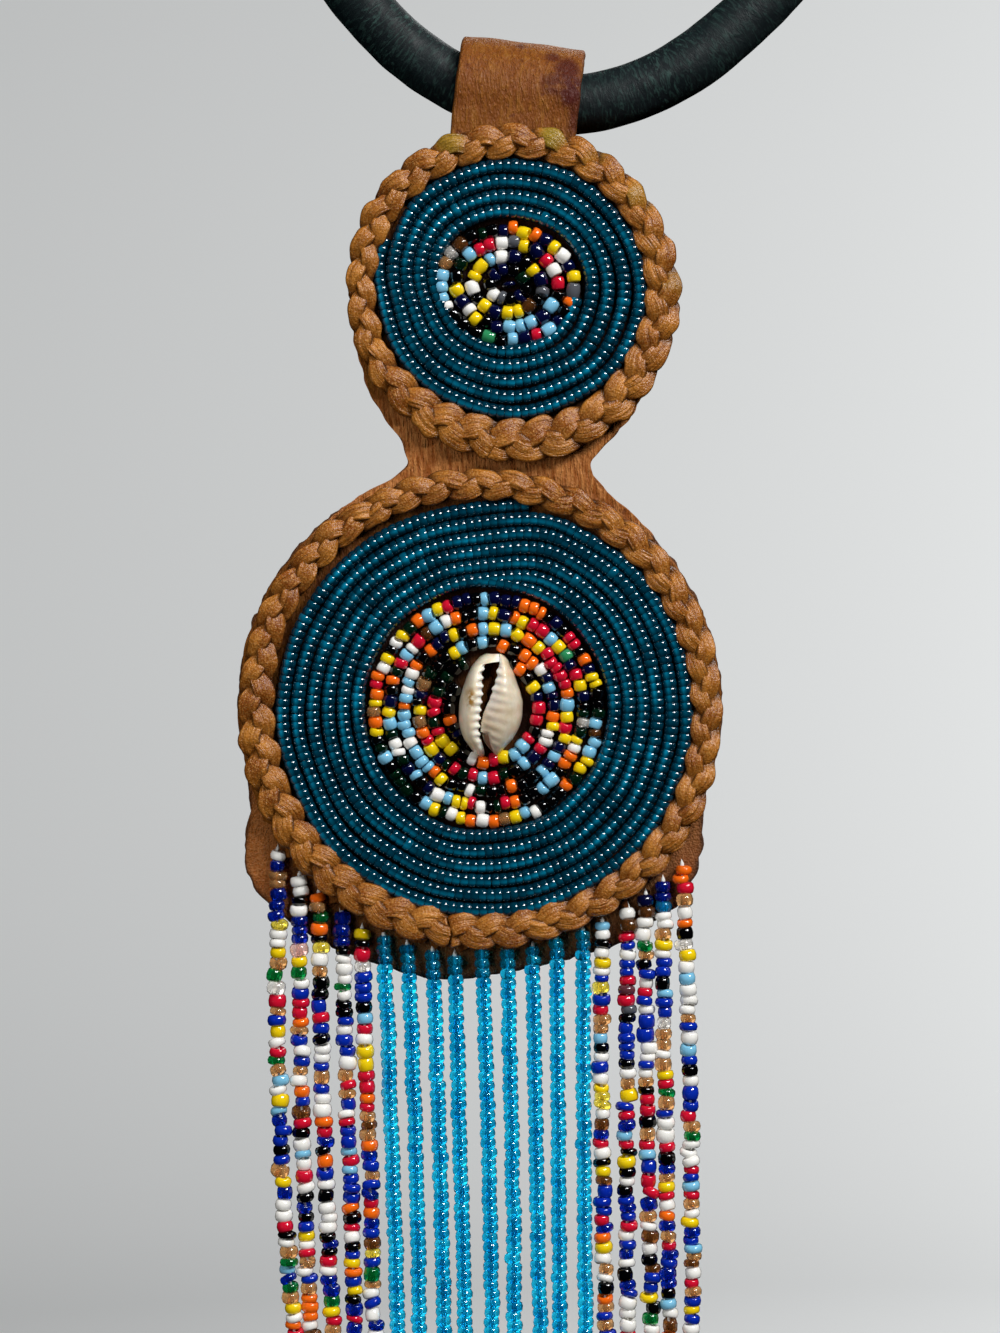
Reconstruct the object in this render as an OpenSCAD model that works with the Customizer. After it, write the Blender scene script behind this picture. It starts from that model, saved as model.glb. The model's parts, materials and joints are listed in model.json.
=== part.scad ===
/* [Neck ring] */
// Diameter of the leather covered tube
tube_d = 10.6; // [9:0.1:11]
// Bend radius at the bottom, where the strap rides
bottom_r = 38.5; // [36:0.5:44]
// Bend radius of the two flanks
flank_r = 55; // [48:1:70]
// Bend radius of the two long sides
side_r = 125; // [100:1:150]
// Lean of the ring as it hangs, top to the right, in degrees
ring_lean = 8.4; // [4:0.1:12]
// Place of the peg on the ring's top, left of its middle, in degrees
peg_turn = 7.5; // [0:0.5:20]
// Length of the barrel clasp
clasp_len = 26; // [20:1:36]
// Diameter of the barrel clasp
clasp_d = 13.4; // [12.8:0.1:16]
// Depth of the two sockets in the clasp
socket_depth = 7; // [4:0.5:9]

/* [Leather] */
// Thickness of the front leather and its strap
front_t = 2; // [1:0.1:2.4]
// Thickness of the back leather
back_t = 1.5; // [1:0.1:2]
// Width of the strap
strap_w = 22.2; // [16:0.2:24]
// Sideways place of the strap's middle
strap_x = -1.6; // [-2:0.1:1]
// Inner radius of the strap's fold over the ring
fold_r = 7.4; // [7.2:0.1:8]
// Height of the fold's axis above the middle of the ring's lowest point
fold_lift = 0.9; // [0.7:0.1:1.2]
// Depth of the end of the strap's rear tail below the ring
tail_end = 44; // [36:1:56]
// Lean of the pendant, top to the right, in degrees
pendant_lean = 6; // [4:0.1:8]
// Backward tilt of the pendant as it hangs from the ring, in degrees
pendant_tilt = 5; // [2:0.1:8]

/* [Discs] */
// Drop of the small disc's centre below the ring's bottom
small_drop = 33.9; // [33:0.1:35]
// Drop of the large disc's centre below the ring's bottom
large_drop = 108.6; // [108:0.1:112]
// Mean radius of the small braid
small_braid_r = 26.7; // [26:0.1:27]
// Mean radius of the large braid
large_braid_r = 40.4; // [40:0.1:41]
// Radius of the beads of many colours in the small disc
small_centre_r = 12.4; // [10:0.1:14]
// Radius of the beads of many colours in the large disc
large_centre_r = 21.6; // [18:0.1:24]
// Diameter of the seed beads
bead_d = 2.6; // [2:0.1:3]

/* [Braid] */
// Sideways swing of each strand
strand_swing = 2.1; // [1.9:0.05:2.2]
// Rise and fall of each strand
strand_rise = 1.2; // [1.1:0.05:1.3]
// Width of each strand
strand_w = 2.2; // [1.8:0.05:2.3]
// Thickness of each strand
strand_t = 1; // [0.6:0.05:1.1]
// Turns of the plait round the small disc
small_turns = 9.7; // [9:0.1:10]
// Turns of the plait round the large disc
large_turns = 14.7; // [14:0.1:15]

/* [Shell] */
// Width of the cowrie
cowrie_w = 11.8; // [10:0.1:12]
// Length of the cowrie
cowrie_len = 19; // [18.6:0.1:20]
// Height of the cowrie above the leather
cowrie_h = 7; // [5:0.1:8]
// Wall of the cowrie
cowrie_wall = 1.2; // [0.8:0.1:1.6]

/* [Fringe] */
// Depth of the strings' lower ends below the ring's bottom
fringe_end = 224; // [180:1:260]

/* [Hidden] */
// Small clearance between neighbouring pieces
gap = 0.2;
// A cut runs this far past the face that it opens
past = 0.5;

// The ring's centreline is a chain of arcs that meet smoothly, the same left and right.
// A heading of 0 is the bottom and 180 the top; each arc starts where the last one ends.
FLANK_FROM = 25;
SIDE_FROM = 50;
TOP_FROM = 90;
TOP = 180;
function outward(h) = [sin(h), -cos(h)];
bottom_centre = [0, bottom_r];
flank_centre = bottom_centre + (bottom_r - flank_r) * outward(FLANK_FROM);
side_centre = flank_centre + (flank_r - side_r) * outward(SIDE_FROM);
// The top is two arcs with a straight stretch between them, in the clasp
clear_of_clasp = 1;
top_straight = clasp_len / 2 + clear_of_clasp;
top_centre = [top_straight, side_centre.y];
top_r = side_r + side_centre.x - top_straight;
function ring_point(h, out = 0) =
  h < 0 ? [-ring_point(-h, out).x, ring_point(-h, out).y]
  : h <= FLANK_FROM ? bottom_centre + (bottom_r + out) * outward(h)
  : h <= SIDE_FROM ? flank_centre + (flank_r + out) * outward(h)
  : h <= TOP_FROM ? side_centre + (side_r + out) * outward(h)
  : top_centre + (top_r + out) * outward(h);
// Headings of the rings on the right half, closer where the bend is tighter
function steps_between(from, to, n) = [for (i = [1 : n]) from + i * (to - from) / n];
half_headings = [
  each steps_between(0, FLANK_FROM, 3),
  each steps_between(FLANK_FROM, SIDE_FROM, 4),
  each steps_between(SIDE_FROM, TOP_FROM, 8),
  each steps_between(TOP_FROM, TOP, 10)
];
half_count = len(half_headings);
headings = [
  for (i = [1 : half_count]) -half_headings[half_count - i],
  0,
  each half_headings
];
tube_sides = 16;
// The sockets are this much wider than the tube
socket_play = 0.8;

// Turns a flat point clockwise, as a lean to the right does
function leaned(p, lean) = [p.x * cos(lean) + p.y * sin(lean), p.y * cos(lean) - p.x * sin(lean)];
// The peg's place on the inner face of the top, from the ring's lowest middle
peg = leaned(ring_point(peg_turn - TOP, -tube_d / 2), ring_lean);

// Depths of the layers, counted forward from the ring's middle plane.
// The fold bulges a little past the flat strap.
bulge = 0.3;
front_back = fold_r - bulge;
front_face = front_back + front_t;
back_face = front_back - gap;
tail_face = back_face - back_t - gap;
bead_floor = front_face + gap;

// Radius and centre of each leather disc; the back one of the small pair is offset
front_small_r = 29.4;
front_large_r = 43.7;
back_large_r = 44;
back_small_x = -0.8;
back_small_drop = small_drop + 0.7;
fold_sides = 96;
// The waist between the discs, its points going round
waist = [
  [-27, -48], [-26, -53], [-23, -58.5], [-17.6, -63.4], [-16.4, -65.4], [-18.5, -68.4],
  [-28, -75], [25.5, -73], [21.4, -70], [16.2, -64.6], [17.3, -61.5], [22.5, -55.5], [26, -48]
];
// The apron below the large disc: angle round the disc, and reach from its centre
ANGLE = 0;
REACH = 1;
apron = [
  [-160, 43.5], [-152, 44.4], [-145, 48.4], [-140, 51.9], [-134, 52.8], [-118, 51.9],
  [-107, 50.7], [-94, 50.5], [-81, 49], [-70, 48.7], [-62, 49.2], [-55, 50.3],
  [-47, 50.2], [-40, 51], [-36, 50.5], [-28, 48], [-22, 45], [-16, 43.5]
];
// How far the flat strap runs down into the front leather, thinner by an inset on each face
strap_merge = 30;
strap_inset = 0.05;
// Height at which the strap's rear tail turns flat, and the turn of the fold past its slant
tail_bend = -22;
fold_past = 8;

// The plait: heading of its butt joint, the opening there, and rings of points in a turn
BUTT_AT = -93;
butt_gap = 0.5;
rings_a_turn = 10;
// Share of a strand's half width that is flat on top
flat_share = 0.54;
braid_half = strand_swing + strand_w / 2;

// Rows of beads in each field, from the eye that the innermost row turns round
eye_r = 0.4;
small_rows_count = 4;
small_centre_rows = 5;
large_rows_count = 6;
large_centre_rows = 8;
small_field_r = small_braid_r - braid_half - gap;
large_field_r = large_braid_r - braid_half - gap;
// Radius of a row's ridge, as a share of the rows' pitch
ridge_share = 0.56;

// The cowrie's place on the pendant, and the turn of its long axis
cowrie_x = 1.6;
cowrie_drop = 108.2;
cowrie_turn = -4.5;
cowrie_sides = 24;
// The outline is wider above its middle by this share
egg_skew = 0.08;
// Angles up the dome at which it has a ring of points
dome_lifts = [0, 22, 44, 64, 80];
// The slit between the lips: height along the shell, left lip and right lip
HEIGHT = 0;
LEFT_LIP = 1;
RIGHT_LIP = 2;
slit = [[9.2, -0.9, 0.6], [4, -1.5, 0.5], [0, -1.3, 0.3], [-4, -1, -0.1], [-8, -0.9, -0.5]];

// Strings of the fringe from left to right, hanging free from the front leather's lower edge:
// place of the top to the right of and below the ring's lowest middle, drift of the end, belly
TOP_X = 0;
TOP_DROP = 1;
DRIFT = 2;
BELLY = 3;
fringe = [
  [-48.9, 133.2, 1.0, -1.3], [-45.1, 137.9, 0.1, -0.7], [-41.7, 141.1, 0.5, -0.4],
  [-37.7, 144.6, 0.6, 0.0], [-34.0, 148.0, 0.5, -0.1],
  [-30.1, 149.2, 0.7, 0.1], [-25.9, 150.4, 0.3, 0.4], [-21.3, 151.8, 0.2, 0.2],
  [-17.3, 152.2, 0.2, -0.1], [-12.3, 152.2, 0.0, 0.2], [-7.8, 152.3, -0.5, 0.2],
  [-3.1, 151.8, -0.5, -0.1], [1.2, 150.6, -1.2, 0.0], [6.1, 149.2, -1.5, -0.1],
  [9.6, 147.7, -1.2, -0.4], [14.3, 145.3, -2.1, -0.1], [17.6, 143.0, -0.8, -0.3],
  [20.8, 140.6, -1.1, 0.0], [24.3, 137.8, -0.4, 0.6]
];
// Strings of mixed beads at each side of the blue ones
mixed = 5;
// Rings along each string, and the sides of a string
string_rings = 11;
string_sides = 8;
// The strings' clearance in front of the back leather
string_clear = 1.3 * gap;
function is_blue(i) = i >= mixed && i < len(fringe) - mixed;
function string_name(i) =
  i < mixed ? str("string_left_", i + 1)
  : is_blue(i) ? str("string_blue_", i + 1 - mixed)
  : str("string_right_", i + 1 - len(fringe) + mixed);

leather_tan = "#a8682e";
leather_dark = "#5a3520";
ring_black = "#22303a";
brass = "#8a7440";
teal = "#0c5a70";
sky = "#2aa3c8";
mixed_red = "#c04028";
mixed_yellow = "#d8c030";
mixed_grey = "#c8b8b0";
shell_cream = "#d9cdb8";

strand_names = ["a", "b", "c"];

// A body skinned over equal rings of points, with flat ends.
// Each ring turns as a right hand screw does on its way to the next ring.
module skin(rings) {
  m = len(rings[0]);
  last = (len(rings) - 1) * m;
  polyhedron(
    points = [for (ring = rings) each ring],
    faces = [
      [for (j = [0 : m - 1]) j],
      [for (j = [0 : m - 1]) last + m - 1 - j],
      for (i = [0 : len(rings) - 2], j = [0 : m - 1])
        let (a = i * m + j, b = i * m + (j + 1) % m)
          each [[a, a + m, b], [b, a + m, b + m]]
    ]
  );
}

function unit(v) = v / norm(v);

// The whole necklace hangs with its peg at the origin
module hung() {
  translate([-peg.x, 0, -peg.y]) children();
}

module on_ring() {
  hung() rotate([0, ring_lean, 0]) children();
}

// The frame of the strap's fold, which tilts about the fold's own axis
module on_fold() {
  on_ring() translate([0, 0, fold_lift]) rotate([pendant_tilt, 0, 0]) children();
}

// The frame of the flat pendant, measured from the ring's lowest middle
module on_pendant() {
  on_fold() translate([0, 0, -fold_lift]) rotate([0, pendant_lean - ring_lean, 0]) children();
}

// Points round the tube at a heading, slid along it by a length where the ring is straight
function tube_ring(h, slide = 0) = [
  for (j = [0 : tube_sides - 1])
    let (a = 360 * j / tube_sides, p = ring_point(h, tube_d / 2 * cos(a)))
      [p.x + slide, tube_d / 2 * sin(a), p.y]
];

module neck_ring() {
  // Each end runs straight on into its socket
  run_in = clear_of_clasp + socket_depth - gap;
  color(ring_black)
    on_ring()
      skin([
        tube_ring(-TOP, run_in),
        for (h = headings) tube_ring(h),
        tube_ring(TOP, -run_in)
      ]);
}

// A plain barrel, with a blind socket in each end for the ring's two ends
module clasp() {
  socket_d = tube_d + socket_play;
  socket_cut = socket_depth + past;
  color(brass)
    on_ring()
      translate([0, 0, ring_point(TOP).y]) rotate([0, 90, 0])
        difference() {
          cylinder(d = clasp_d, h = clasp_len, center = true, $fn = 48);
          for (s = [-1, 1])
            translate([0, 0, s * (clasp_len / 2 + past - socket_cut / 2)])
              cylinder(d = socket_d, h = socket_cut, center = true, $fn = 48);
        }
}

// Stands a flat outline upright: x stays, y becomes height, from one depth forward to another
module upright(from, to) {
  translate([0, -from, 0]) rotate([90, 0, 0]) linear_extrude(to - from) children();
}

module disc_outline(drop, r, x = 0) {
  translate([x, -drop]) circle(r = r, $fn = fold_sides);
}

// Section of the strap across the ring: flat in front, folded over the top,
// slanting down behind and flat again on the back leather
module strap_section() {
  fold_out = fold_r + front_t;
  // The slant's inner face is as far from the fold's axis as the front leather's back,
  // and passes the corner where the tail turns flat
  corner = [-tail_face, tail_bend];
  turn = atan2(corner.y, corner.x) + acos(front_back / norm(corner));
  foot = [cos(turn), sin(turn)];
  along = [-foot.y, foot.x];
  tail_back = tail_face - front_t;
  mitre = (front_face * foot.x + tail_back) / foot.y;
  lap = 1;
  wide = 2 * fold_out;
  intersection() {
    difference() {
      circle(r = fold_out, $fn = fold_sides);
      circle(r = fold_r, $fn = fold_sides);
    }
    polygon([
      [0, 0], [-wide, -2 * lap], [-wide, wide], [wide, wide],
      wide * [cos(turn - fold_past), sin(turn - fold_past)]
    ]);
  }
  translate([strap_inset - front_face, -strap_merge])
    square([front_t - 2 * strap_inset, strap_merge - lap / 2]);
  polygon([
    corner, front_back * foot + lap * along, front_face * foot + lap * along,
    front_face * foot + mitre * along, [-tail_back, -tail_end], [-tail_face, -tail_end]
  ]);
}

module front_leather() {
  color(leather_tan) {
    on_pendant()
      upright(front_back, front_face) {
        disc_outline(small_drop, front_small_r);
        disc_outline(large_drop, front_large_r);
        polygon(waist);
      }
    on_fold()
      translate([strap_x - strap_w / 2, 0, 0])
        rotate([90, 0, 90]) linear_extrude(strap_w) strap_section();
  }
}

module back_leather() {
  color(leather_dark)
    on_pendant()
      upright(back_face - back_t, back_face) {
        disc_outline(back_small_drop, front_small_r, back_small_x);
        disc_outline(large_drop, back_large_r);
        polygon(waist);
        translate([0, -large_drop])
          polygon([[0, 0], for (row = apron) row[REACH] * [cos(row[ANGLE]), sin(row[ANGLE])]]);
      }
}

// A strand's section: flat on top and below, with sharp edges
strand_outline = [
  for (side = [1, -1])
    each [
      [side * strand_w / 2, 0],
      [side * strand_w / 2 * flat_share, side * strand_t / 2],
      [-side * strand_w / 2 * flat_share, side * strand_t / 2]
    ]
];

// One strand of a three strand plait laid in a ring, open at its butt joint
module strand(drop, r, turns, phase) {
  middle_depth = bead_floor + strand_rise + strand_t / 2;
  forward = [0, -1, 0];
  trim = butt_gap / r * 90 / PI;
  steps = round(turns * rings_a_turn);
  skin([
    for (i = [0 : steps])
      let (
        a = BUTT_AT + trim + (360 - 2 * trim) * i / steps,
        t = turns * a + phase,
        radial = [cos(a), 0, sin(a)],
        tangent = [-sin(a), 0, cos(a)],
        reach = r + strand_swing * sin(t),
        depth = middle_depth + strand_rise * sin(2 * t),
        middle = [0, 0, -drop] + reach * radial + depth * forward,
        run = unit(reach * tangent + strand_swing * turns * cos(t) * radial
          + 2 * strand_rise * turns * cos(2 * t) * forward),
        across = unit(cross(forward, run)),
        lift = cross(run, across)
      )
        [for (p = strand_outline) middle + p.x * across + p.y * lift]
  ]);
}

module small_braid(k) {
  color(leather_tan) on_pendant() strand(small_drop, small_braid_r, small_turns, 120 * k);
}

module large_braid(k) {
  color(leather_tan) on_pendant() strand(large_drop, large_braid_r, large_turns, 120 * k);
}

// A field of beads sewn down in rows, ridged along each row
module bead_field(drop, from, to, rows) {
  pitch = (to - from) / rows;
  ridge = pitch * ridge_share;
  translate([0, -bead_floor, -drop]) rotate([90, 0, 0])
    rotate_extrude($fn = 96)
      intersection() {
        translate([from, 0]) square([to - from, bead_d]);
        union() {
          translate([from, 0]) square([to - from, bead_d / 2]);
          for (i = [0 : rows - 1])
            translate([from + (i + 0.5) * pitch, bead_d - ridge]) circle(r = ridge, $fn = 32);
        }
      }
}

module small_rows() {
  color(teal)
    on_pendant() bead_field(small_drop, small_centre_r + gap, small_field_r, small_rows_count);
}

module small_centre() {
  color(mixed_yellow)
    on_pendant() bead_field(small_drop, eye_r, small_centre_r, small_centre_rows);
}

module large_rows() {
  color(teal)
    on_pendant() bead_field(large_drop, large_centre_r + gap, large_field_r, large_rows_count);
}

// A point of the cowrie's egg outline, at an angle round it
function egg(a, w, l) = [w / 2 * cos(a) * (1 + egg_skew * sin(a)), l / 2 * sin(a)];

module at_cowrie() {
  translate([cowrie_x, 0, -cowrie_drop]) rotate([0, cowrie_turn, 0]) children();
}

module large_centre() {
  clear = 4 * gap;
  color(mixed_red)
    on_pendant()
      difference() {
        bead_field(large_drop, eye_r, large_centre_r, large_centre_rows);
        at_cowrie()
          upright(bead_floor - past, bead_floor + bead_d + past)
            polygon([
              for (i = [0 : cowrie_sides - 1])
                egg(360 * i / cowrie_sides, cowrie_w + clear, cowrie_len + clear)
            ]);
      }
}

// Rings of a dome over the egg outline, from its rim to near its crown
function dome(w, l, h, base) = [
  for (lift = dome_lifts)
    [for (i = [0 : cowrie_sides - 1])
      let (p = egg(360 * i / cowrie_sides, w * cos(lift), l * cos(lift)))
        [p.x, -base - h * sin(lift), p.y]]
];

// A cowrie with its back cut away: a hollow dome with a slit between its two lips
module cowrie() {
  slit_outline = [
    for (row = slit) [row[LEFT_LIP], row[HEIGHT]],
    for (i = [len(slit) - 1 : -1 : 0]) [slit[i][RIGHT_LIP], slit[i][HEIGHT]]
  ];
  // The hollow opens through the flat rim
  rim_past = 0.01;
  color(shell_cream)
    on_pendant() at_cowrie()
      difference() {
        skin(dome(cowrie_w, cowrie_len, cowrie_h, bead_floor));
        skin(dome(cowrie_w - 2 * cowrie_wall, cowrie_len - 2 * cowrie_wall,
          cowrie_h - cowrie_wall, bead_floor - rim_past));
        upright(bead_floor + past, bead_floor + cowrie_h + past) polygon(slit_outline);
      }
}

// A string of beads as a plain tube, falling straight down with a slight drift
module string_tube(row) {
  r = bead_d / 2;
  // The top lies just in front of the back leather, and the rest hangs plumb below it
  below = -leaned([row[TOP_X], -row[TOP_DROP]], -ring_lean).y + fold_lift;
  depth = (back_face + string_clear + r) / cos(pendant_tilt) - below * tan(pendant_tilt);
  skin([
    for (i = [0 : string_rings - 1])
      let (
        f = i / (string_rings - 1),
        x = row[TOP_X] + row[DRIFT] * f + 4 * row[BELLY] * f * (1 - f),
        z = -row[TOP_DROP] * (1 - f) - fringe_end * f
      )
        [for (j = [0 : string_sides - 1])
          let (a = -360 * j / string_sides) [x + r * cos(a), r * sin(a) - depth, z]]
  ]);
}

module string_piece(i) {
  color(is_blue(i) ? sky : mixed_grey) hung() string_tube(fringe[i]);
}

neck_ring();
clasp();
front_leather();
back_leather();
for (k = [0 : 2]) small_braid(k);
for (k = [0 : 2]) large_braid(k);
small_rows();
small_centre();
large_rows();
large_centre();
cowrie();
for (i = [0 : len(fringe) - 1]) string_piece(i);
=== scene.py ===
"""Looks of a beaded fringe necklace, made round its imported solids.

Lengths are millimetres and angles degrees unless a name says otherwise; meshes are in metres.
Places on the flat pendant are given as x to the right, depth towards the viewer and height,
all from the middle of the neck ring's lowest point.
"""

import json
import math

import bpy
import numpy as np
from bpy.props import FloatProperty, FloatVectorProperty, IntProperty, PointerProperty
from bpy.types import Operator, Panel, PropertyGroup
from mathutils import Matrix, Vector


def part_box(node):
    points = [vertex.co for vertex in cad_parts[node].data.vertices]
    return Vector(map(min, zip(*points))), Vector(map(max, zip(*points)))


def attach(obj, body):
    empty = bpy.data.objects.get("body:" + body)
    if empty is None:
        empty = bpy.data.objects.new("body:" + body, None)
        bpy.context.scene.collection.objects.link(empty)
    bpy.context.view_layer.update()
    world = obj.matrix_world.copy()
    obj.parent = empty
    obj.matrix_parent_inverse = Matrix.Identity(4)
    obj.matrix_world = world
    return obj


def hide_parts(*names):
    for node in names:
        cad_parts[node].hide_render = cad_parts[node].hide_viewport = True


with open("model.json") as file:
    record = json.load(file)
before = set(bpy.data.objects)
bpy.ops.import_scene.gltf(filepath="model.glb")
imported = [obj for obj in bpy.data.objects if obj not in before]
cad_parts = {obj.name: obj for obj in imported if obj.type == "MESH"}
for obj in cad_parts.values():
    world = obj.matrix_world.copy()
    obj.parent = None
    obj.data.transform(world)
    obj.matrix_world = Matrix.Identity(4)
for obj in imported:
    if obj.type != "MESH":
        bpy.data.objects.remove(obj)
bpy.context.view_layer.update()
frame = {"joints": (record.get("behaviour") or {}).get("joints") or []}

bl_info = {
    "name": "Beaded fringe necklace",
    "version": (1, 0, 0),
    "blender": (4, 5, 0),
    "location": "3D View > Sidebar > Necklace",
    "description": "Makes the leather, beads, shell and threads of the necklace, and its stage",
    "category": "Object",
}

MM = 0.001
NECK = "neck"
PENDANT = "pendant"

# The swing's axis is the axis of the strap's fold, and gives the ring's lean
SWING = frame["joints"][0]
FOLD_AT = np.array(SWING["pos_m"]) / MM
RING_LEAN = math.atan2(-SWING["axis"][2], SWING["axis"][0])
FOLD_LIFT = 0.9
RING_LOW = FOLD_AT - FOLD_LIFT * np.array([math.sin(RING_LEAN), 0, math.cos(RING_LEAN)])
PENDANT_LEAN = math.radians(6)
PENDANT_TILT = math.radians(5)

# Depths of the layers in front of the ring's middle plane
FRONT_BACK = 7.1
FRONT_T = 2.0
BACK_FACE = 6.9
BACK_T = 1.5
BEAD_FLOOR = FRONT_BACK + FRONT_T + 0.15
STRING_GAP = 1.56
# How far the upright sheets lie inside the discs' faces, so that the two never coincide
SINK = 0.05

# Centres of the discs and of their mixed middles: x and height
SMALL_AT = (-0.2, -33.9)
LARGE_AT = (-0.2, -108.7)
SMALL_MIDDLE_AT = (-1.1, -32.8)
LARGE_MIDDLE_AT = (1.0, -108.6)


def turned(points, axis, angle):
    """Points turned by an angle in radians about the x or the y axis, right hand rule."""
    c, s = math.cos(angle), math.sin(angle)
    if axis == "x":
        matrix = np.array([[1, 0, 0], [0, c, -s], [0, s, c]])
    else:
        matrix = np.array([[c, 0, s], [0, 1, 0], [-s, 0, c]])
    return points @ matrix.T


def placed_on_ring(points):
    """From the ring's own upright frame to the part's frame: leaned, then moved to its place."""
    return turned(points, "y", RING_LEAN) + RING_LOW


def placed_on_fold(points):
    """From the strap's frame: tilted about the fold's axis, then as on the ring."""
    return placed_on_ring(turned(points, "x", PENDANT_TILT) + np.array([0, 0, FOLD_LIFT]))


def placed_on_pendant(points):
    """From the flat pendant's x, depth and height: leaned back to the ring, then as the fold."""
    upright = turned(points * np.array([1, -1, 1]), "y", PENDANT_LEAN - RING_LEAN)
    return placed_on_fold(upright - np.array([0, 0, FOLD_LIFT]))


def placed_hanging(points):
    """From x, depth and height below the ring, not leaned, as what hangs plumb."""
    return points * np.array([1, -1, 1]) + RING_LOW


def stacked(*coordinates):
    """Coordinates whose shapes fit each other, as one array of points."""
    return np.stack(np.broadcast_arrays(*coordinates), axis=-1)


def grid_faces(rows, columns, wrap_rows=False, wrap_columns=False):
    """Four-sided faces of a grid of points, rows by columns, closed on itself where it wraps."""
    i = np.arange(rows if wrap_rows else rows - 1)[:, None] * columns
    j = np.arange(columns if wrap_columns else columns - 1)[None, :]
    i_next, j_next = (i + columns) % (rows * columns), (j + 1) % columns
    return stacked(i + j, i + j_next, i_next + j_next, i_next + j).reshape(-1, 4)


def capped(rows, columns):
    """Faces of a tube of rings, its ends closed by one flat face each."""
    last = (rows - 1) * columns
    caps = [list(range(columns))[::-1], list(range(last, last + columns))]
    return grid_faces(rows, columns, wrap_columns=True).tolist() + caps


def copies(faces, count, each):
    """The faces of one thing, once for each of many alike things of so many points each."""
    return (faces[None] + each * np.arange(count)[:, None, None]).reshape(-1, 4)


def joined(parts):
    """Several point and face lists as one."""
    points, faces, start = [], [], 0
    for part_points, part_faces in parts:
        points.append(part_points)
        faces += [[v + start for v in face] for face in part_faces]
        start += len(part_points)
    return np.concatenate(points), faces


def unit(vectors):
    """Vectors scaled to length one."""
    return vectors / np.maximum(np.linalg.norm(vectors, axis=-1, keepdims=True), 1e-9)


def full_turn(sides):
    """Even angles once round, in radians."""
    return 2 * math.pi * np.arange(sides) / sides


def circles(side, other, sides):
    """Headings once round each of many axes, given two headings square to each axis."""
    turn = full_turn(sides)[:, None]
    return np.cos(turn) * side[:, None, :] + np.sin(turn) * other[:, None, :]


def run_along(path):
    """Distance along a path to each of its points."""
    return np.concatenate([[0], np.cumsum(np.linalg.norm(np.diff(path, axis=0), axis=1))])


def on_path(path, run, at):
    """Places on a path at distances along it."""
    return np.stack([np.interp(at, run, column) for column in path.T], axis=1)


def away(points, at, wide=1.0, high=1.0):
    """Distance of points from a place in x and height, as a share of an oval's half sizes."""
    return np.hypot((points[..., 0] - at[0]) / wide, (points[..., 2] - at[1]) / high)


def signed_power(values, power):
    """A power that keeps the sign, which squares off a circle's sine and cosine."""
    return np.sign(values) * np.abs(values) ** power


def smooth_step(low, high, values):
    """Zero below low, one above high, and an even S curve between them."""
    f = np.clip((values - low) / (high - low), 0, 1)
    return f * f * (3 - 2 * f)


def ripple(seed, wavelength, *coordinates):
    """A smooth random surface, about plus or minus one: a sum of sines of random heading."""
    rng, waves = np.random.default_rng(seed), 12
    place = stacked(*coordinates)
    headings = unit(rng.normal(size=(waves, place.shape[-1])))
    pace = 2 * math.pi / wavelength * rng.uniform(0.6, 1.6, waves)
    phase = rng.uniform(0, 2 * math.pi, waves)
    return np.sin(place @ (headings * pace[:, None]).T + phase).sum(axis=-1) / math.sqrt(waves / 2)


def through(table, at):
    """Columns of a table's later values, read smoothly at places in its first column.

    Each stretch is the cubic whose slope at a row is that of the line between its neighbours.
    """
    table = np.array(table, dtype=float)
    order = np.argsort(table[:, 0])
    x, y = table[order, 0], table[order, 1:]
    slope = np.gradient(y, x, axis=0)
    k = np.clip(np.searchsorted(x, at) - 1, 0, len(x) - 2)
    h = (x[k + 1] - x[k])[..., None]
    f = np.clip((at - x[k])[..., None] / h, 0, 1)
    return (
        y[k] * (2 * f**3 - 3 * f**2 + 1)
        + y[k + 1] * (3 * f**2 - 2 * f**3)
        + slope[k] * h * (f**3 - 2 * f**2 + f)
        + slope[k + 1] * h * (f**3 - f**2)
    )


def enclosed(mesh):
    """The volume within a mesh, below nought where its faces point inwards."""
    mesh.calc_loop_triangles()
    corners = np.empty(3 * len(mesh.loop_triangles), dtype=np.int32)
    mesh.loop_triangles.foreach_get("vertices", corners)
    spots = np.empty(3 * len(mesh.vertices), dtype=np.float32)
    mesh.vertices.foreach_get("co", spots)
    spots = spots.reshape(-1, 3).astype(float)
    a, b, c = (spots[corners[k::3]] - spots.mean(axis=0) for k in range(3))
    return np.sum(a * np.cross(b, c)) / 6


def mesh_piece(
    name, points, faces, slot, nodes, materials, body=PENDANT, uv=None, tints=None, index=None
):
    """Makes a piece of the necklace from points in millimetres in the part's frame.

    uv is one pair a point, tints are named values a point (one number or a colour), and index
    says which of the materials each face has.
    """
    mesh = bpy.data.meshes.new(name)
    faces = faces.tolist() if isinstance(faces, np.ndarray) else faces
    mesh.from_pydata((points * MM).tolist(), [], faces)
    mesh.update()
    # Placing a flat piece on the pendant mirrors it
    if enclosed(mesh) < 0:
        mesh.flip_normals()
    mesh.polygons.foreach_set("use_smooth", np.ones(len(mesh.polygons), dtype=bool))
    if uv is not None:
        corners = np.empty(len(mesh.loops), dtype=np.int32)
        mesh.loops.foreach_get("vertex_index", corners)
        layer = mesh.uv_layers.new(name="Surface")
        layer.data.foreach_set("uv", uv[corners].astype(np.float32).ravel())
    for label, values in (tints or {}).items():
        if values.ndim == 1:
            mesh.attributes.new(label, "FLOAT", "POINT").data.foreach_set("value", values)
        else:
            filled = np.concatenate([values, np.ones((len(values), 1))], axis=1).ravel()
            mesh.attributes.new(label, "FLOAT_COLOR", "POINT").data.foreach_set("color", filled)
    for material in materials:
        mesh.materials.append(material)
    if index is not None:
        mesh.polygons.foreach_set("material_index", index)
    piece = bpy.data.objects.new(name, mesh)
    bpy.context.scene.collection.objects.link(piece)
    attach(piece, body)
    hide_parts(*nodes)


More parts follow.
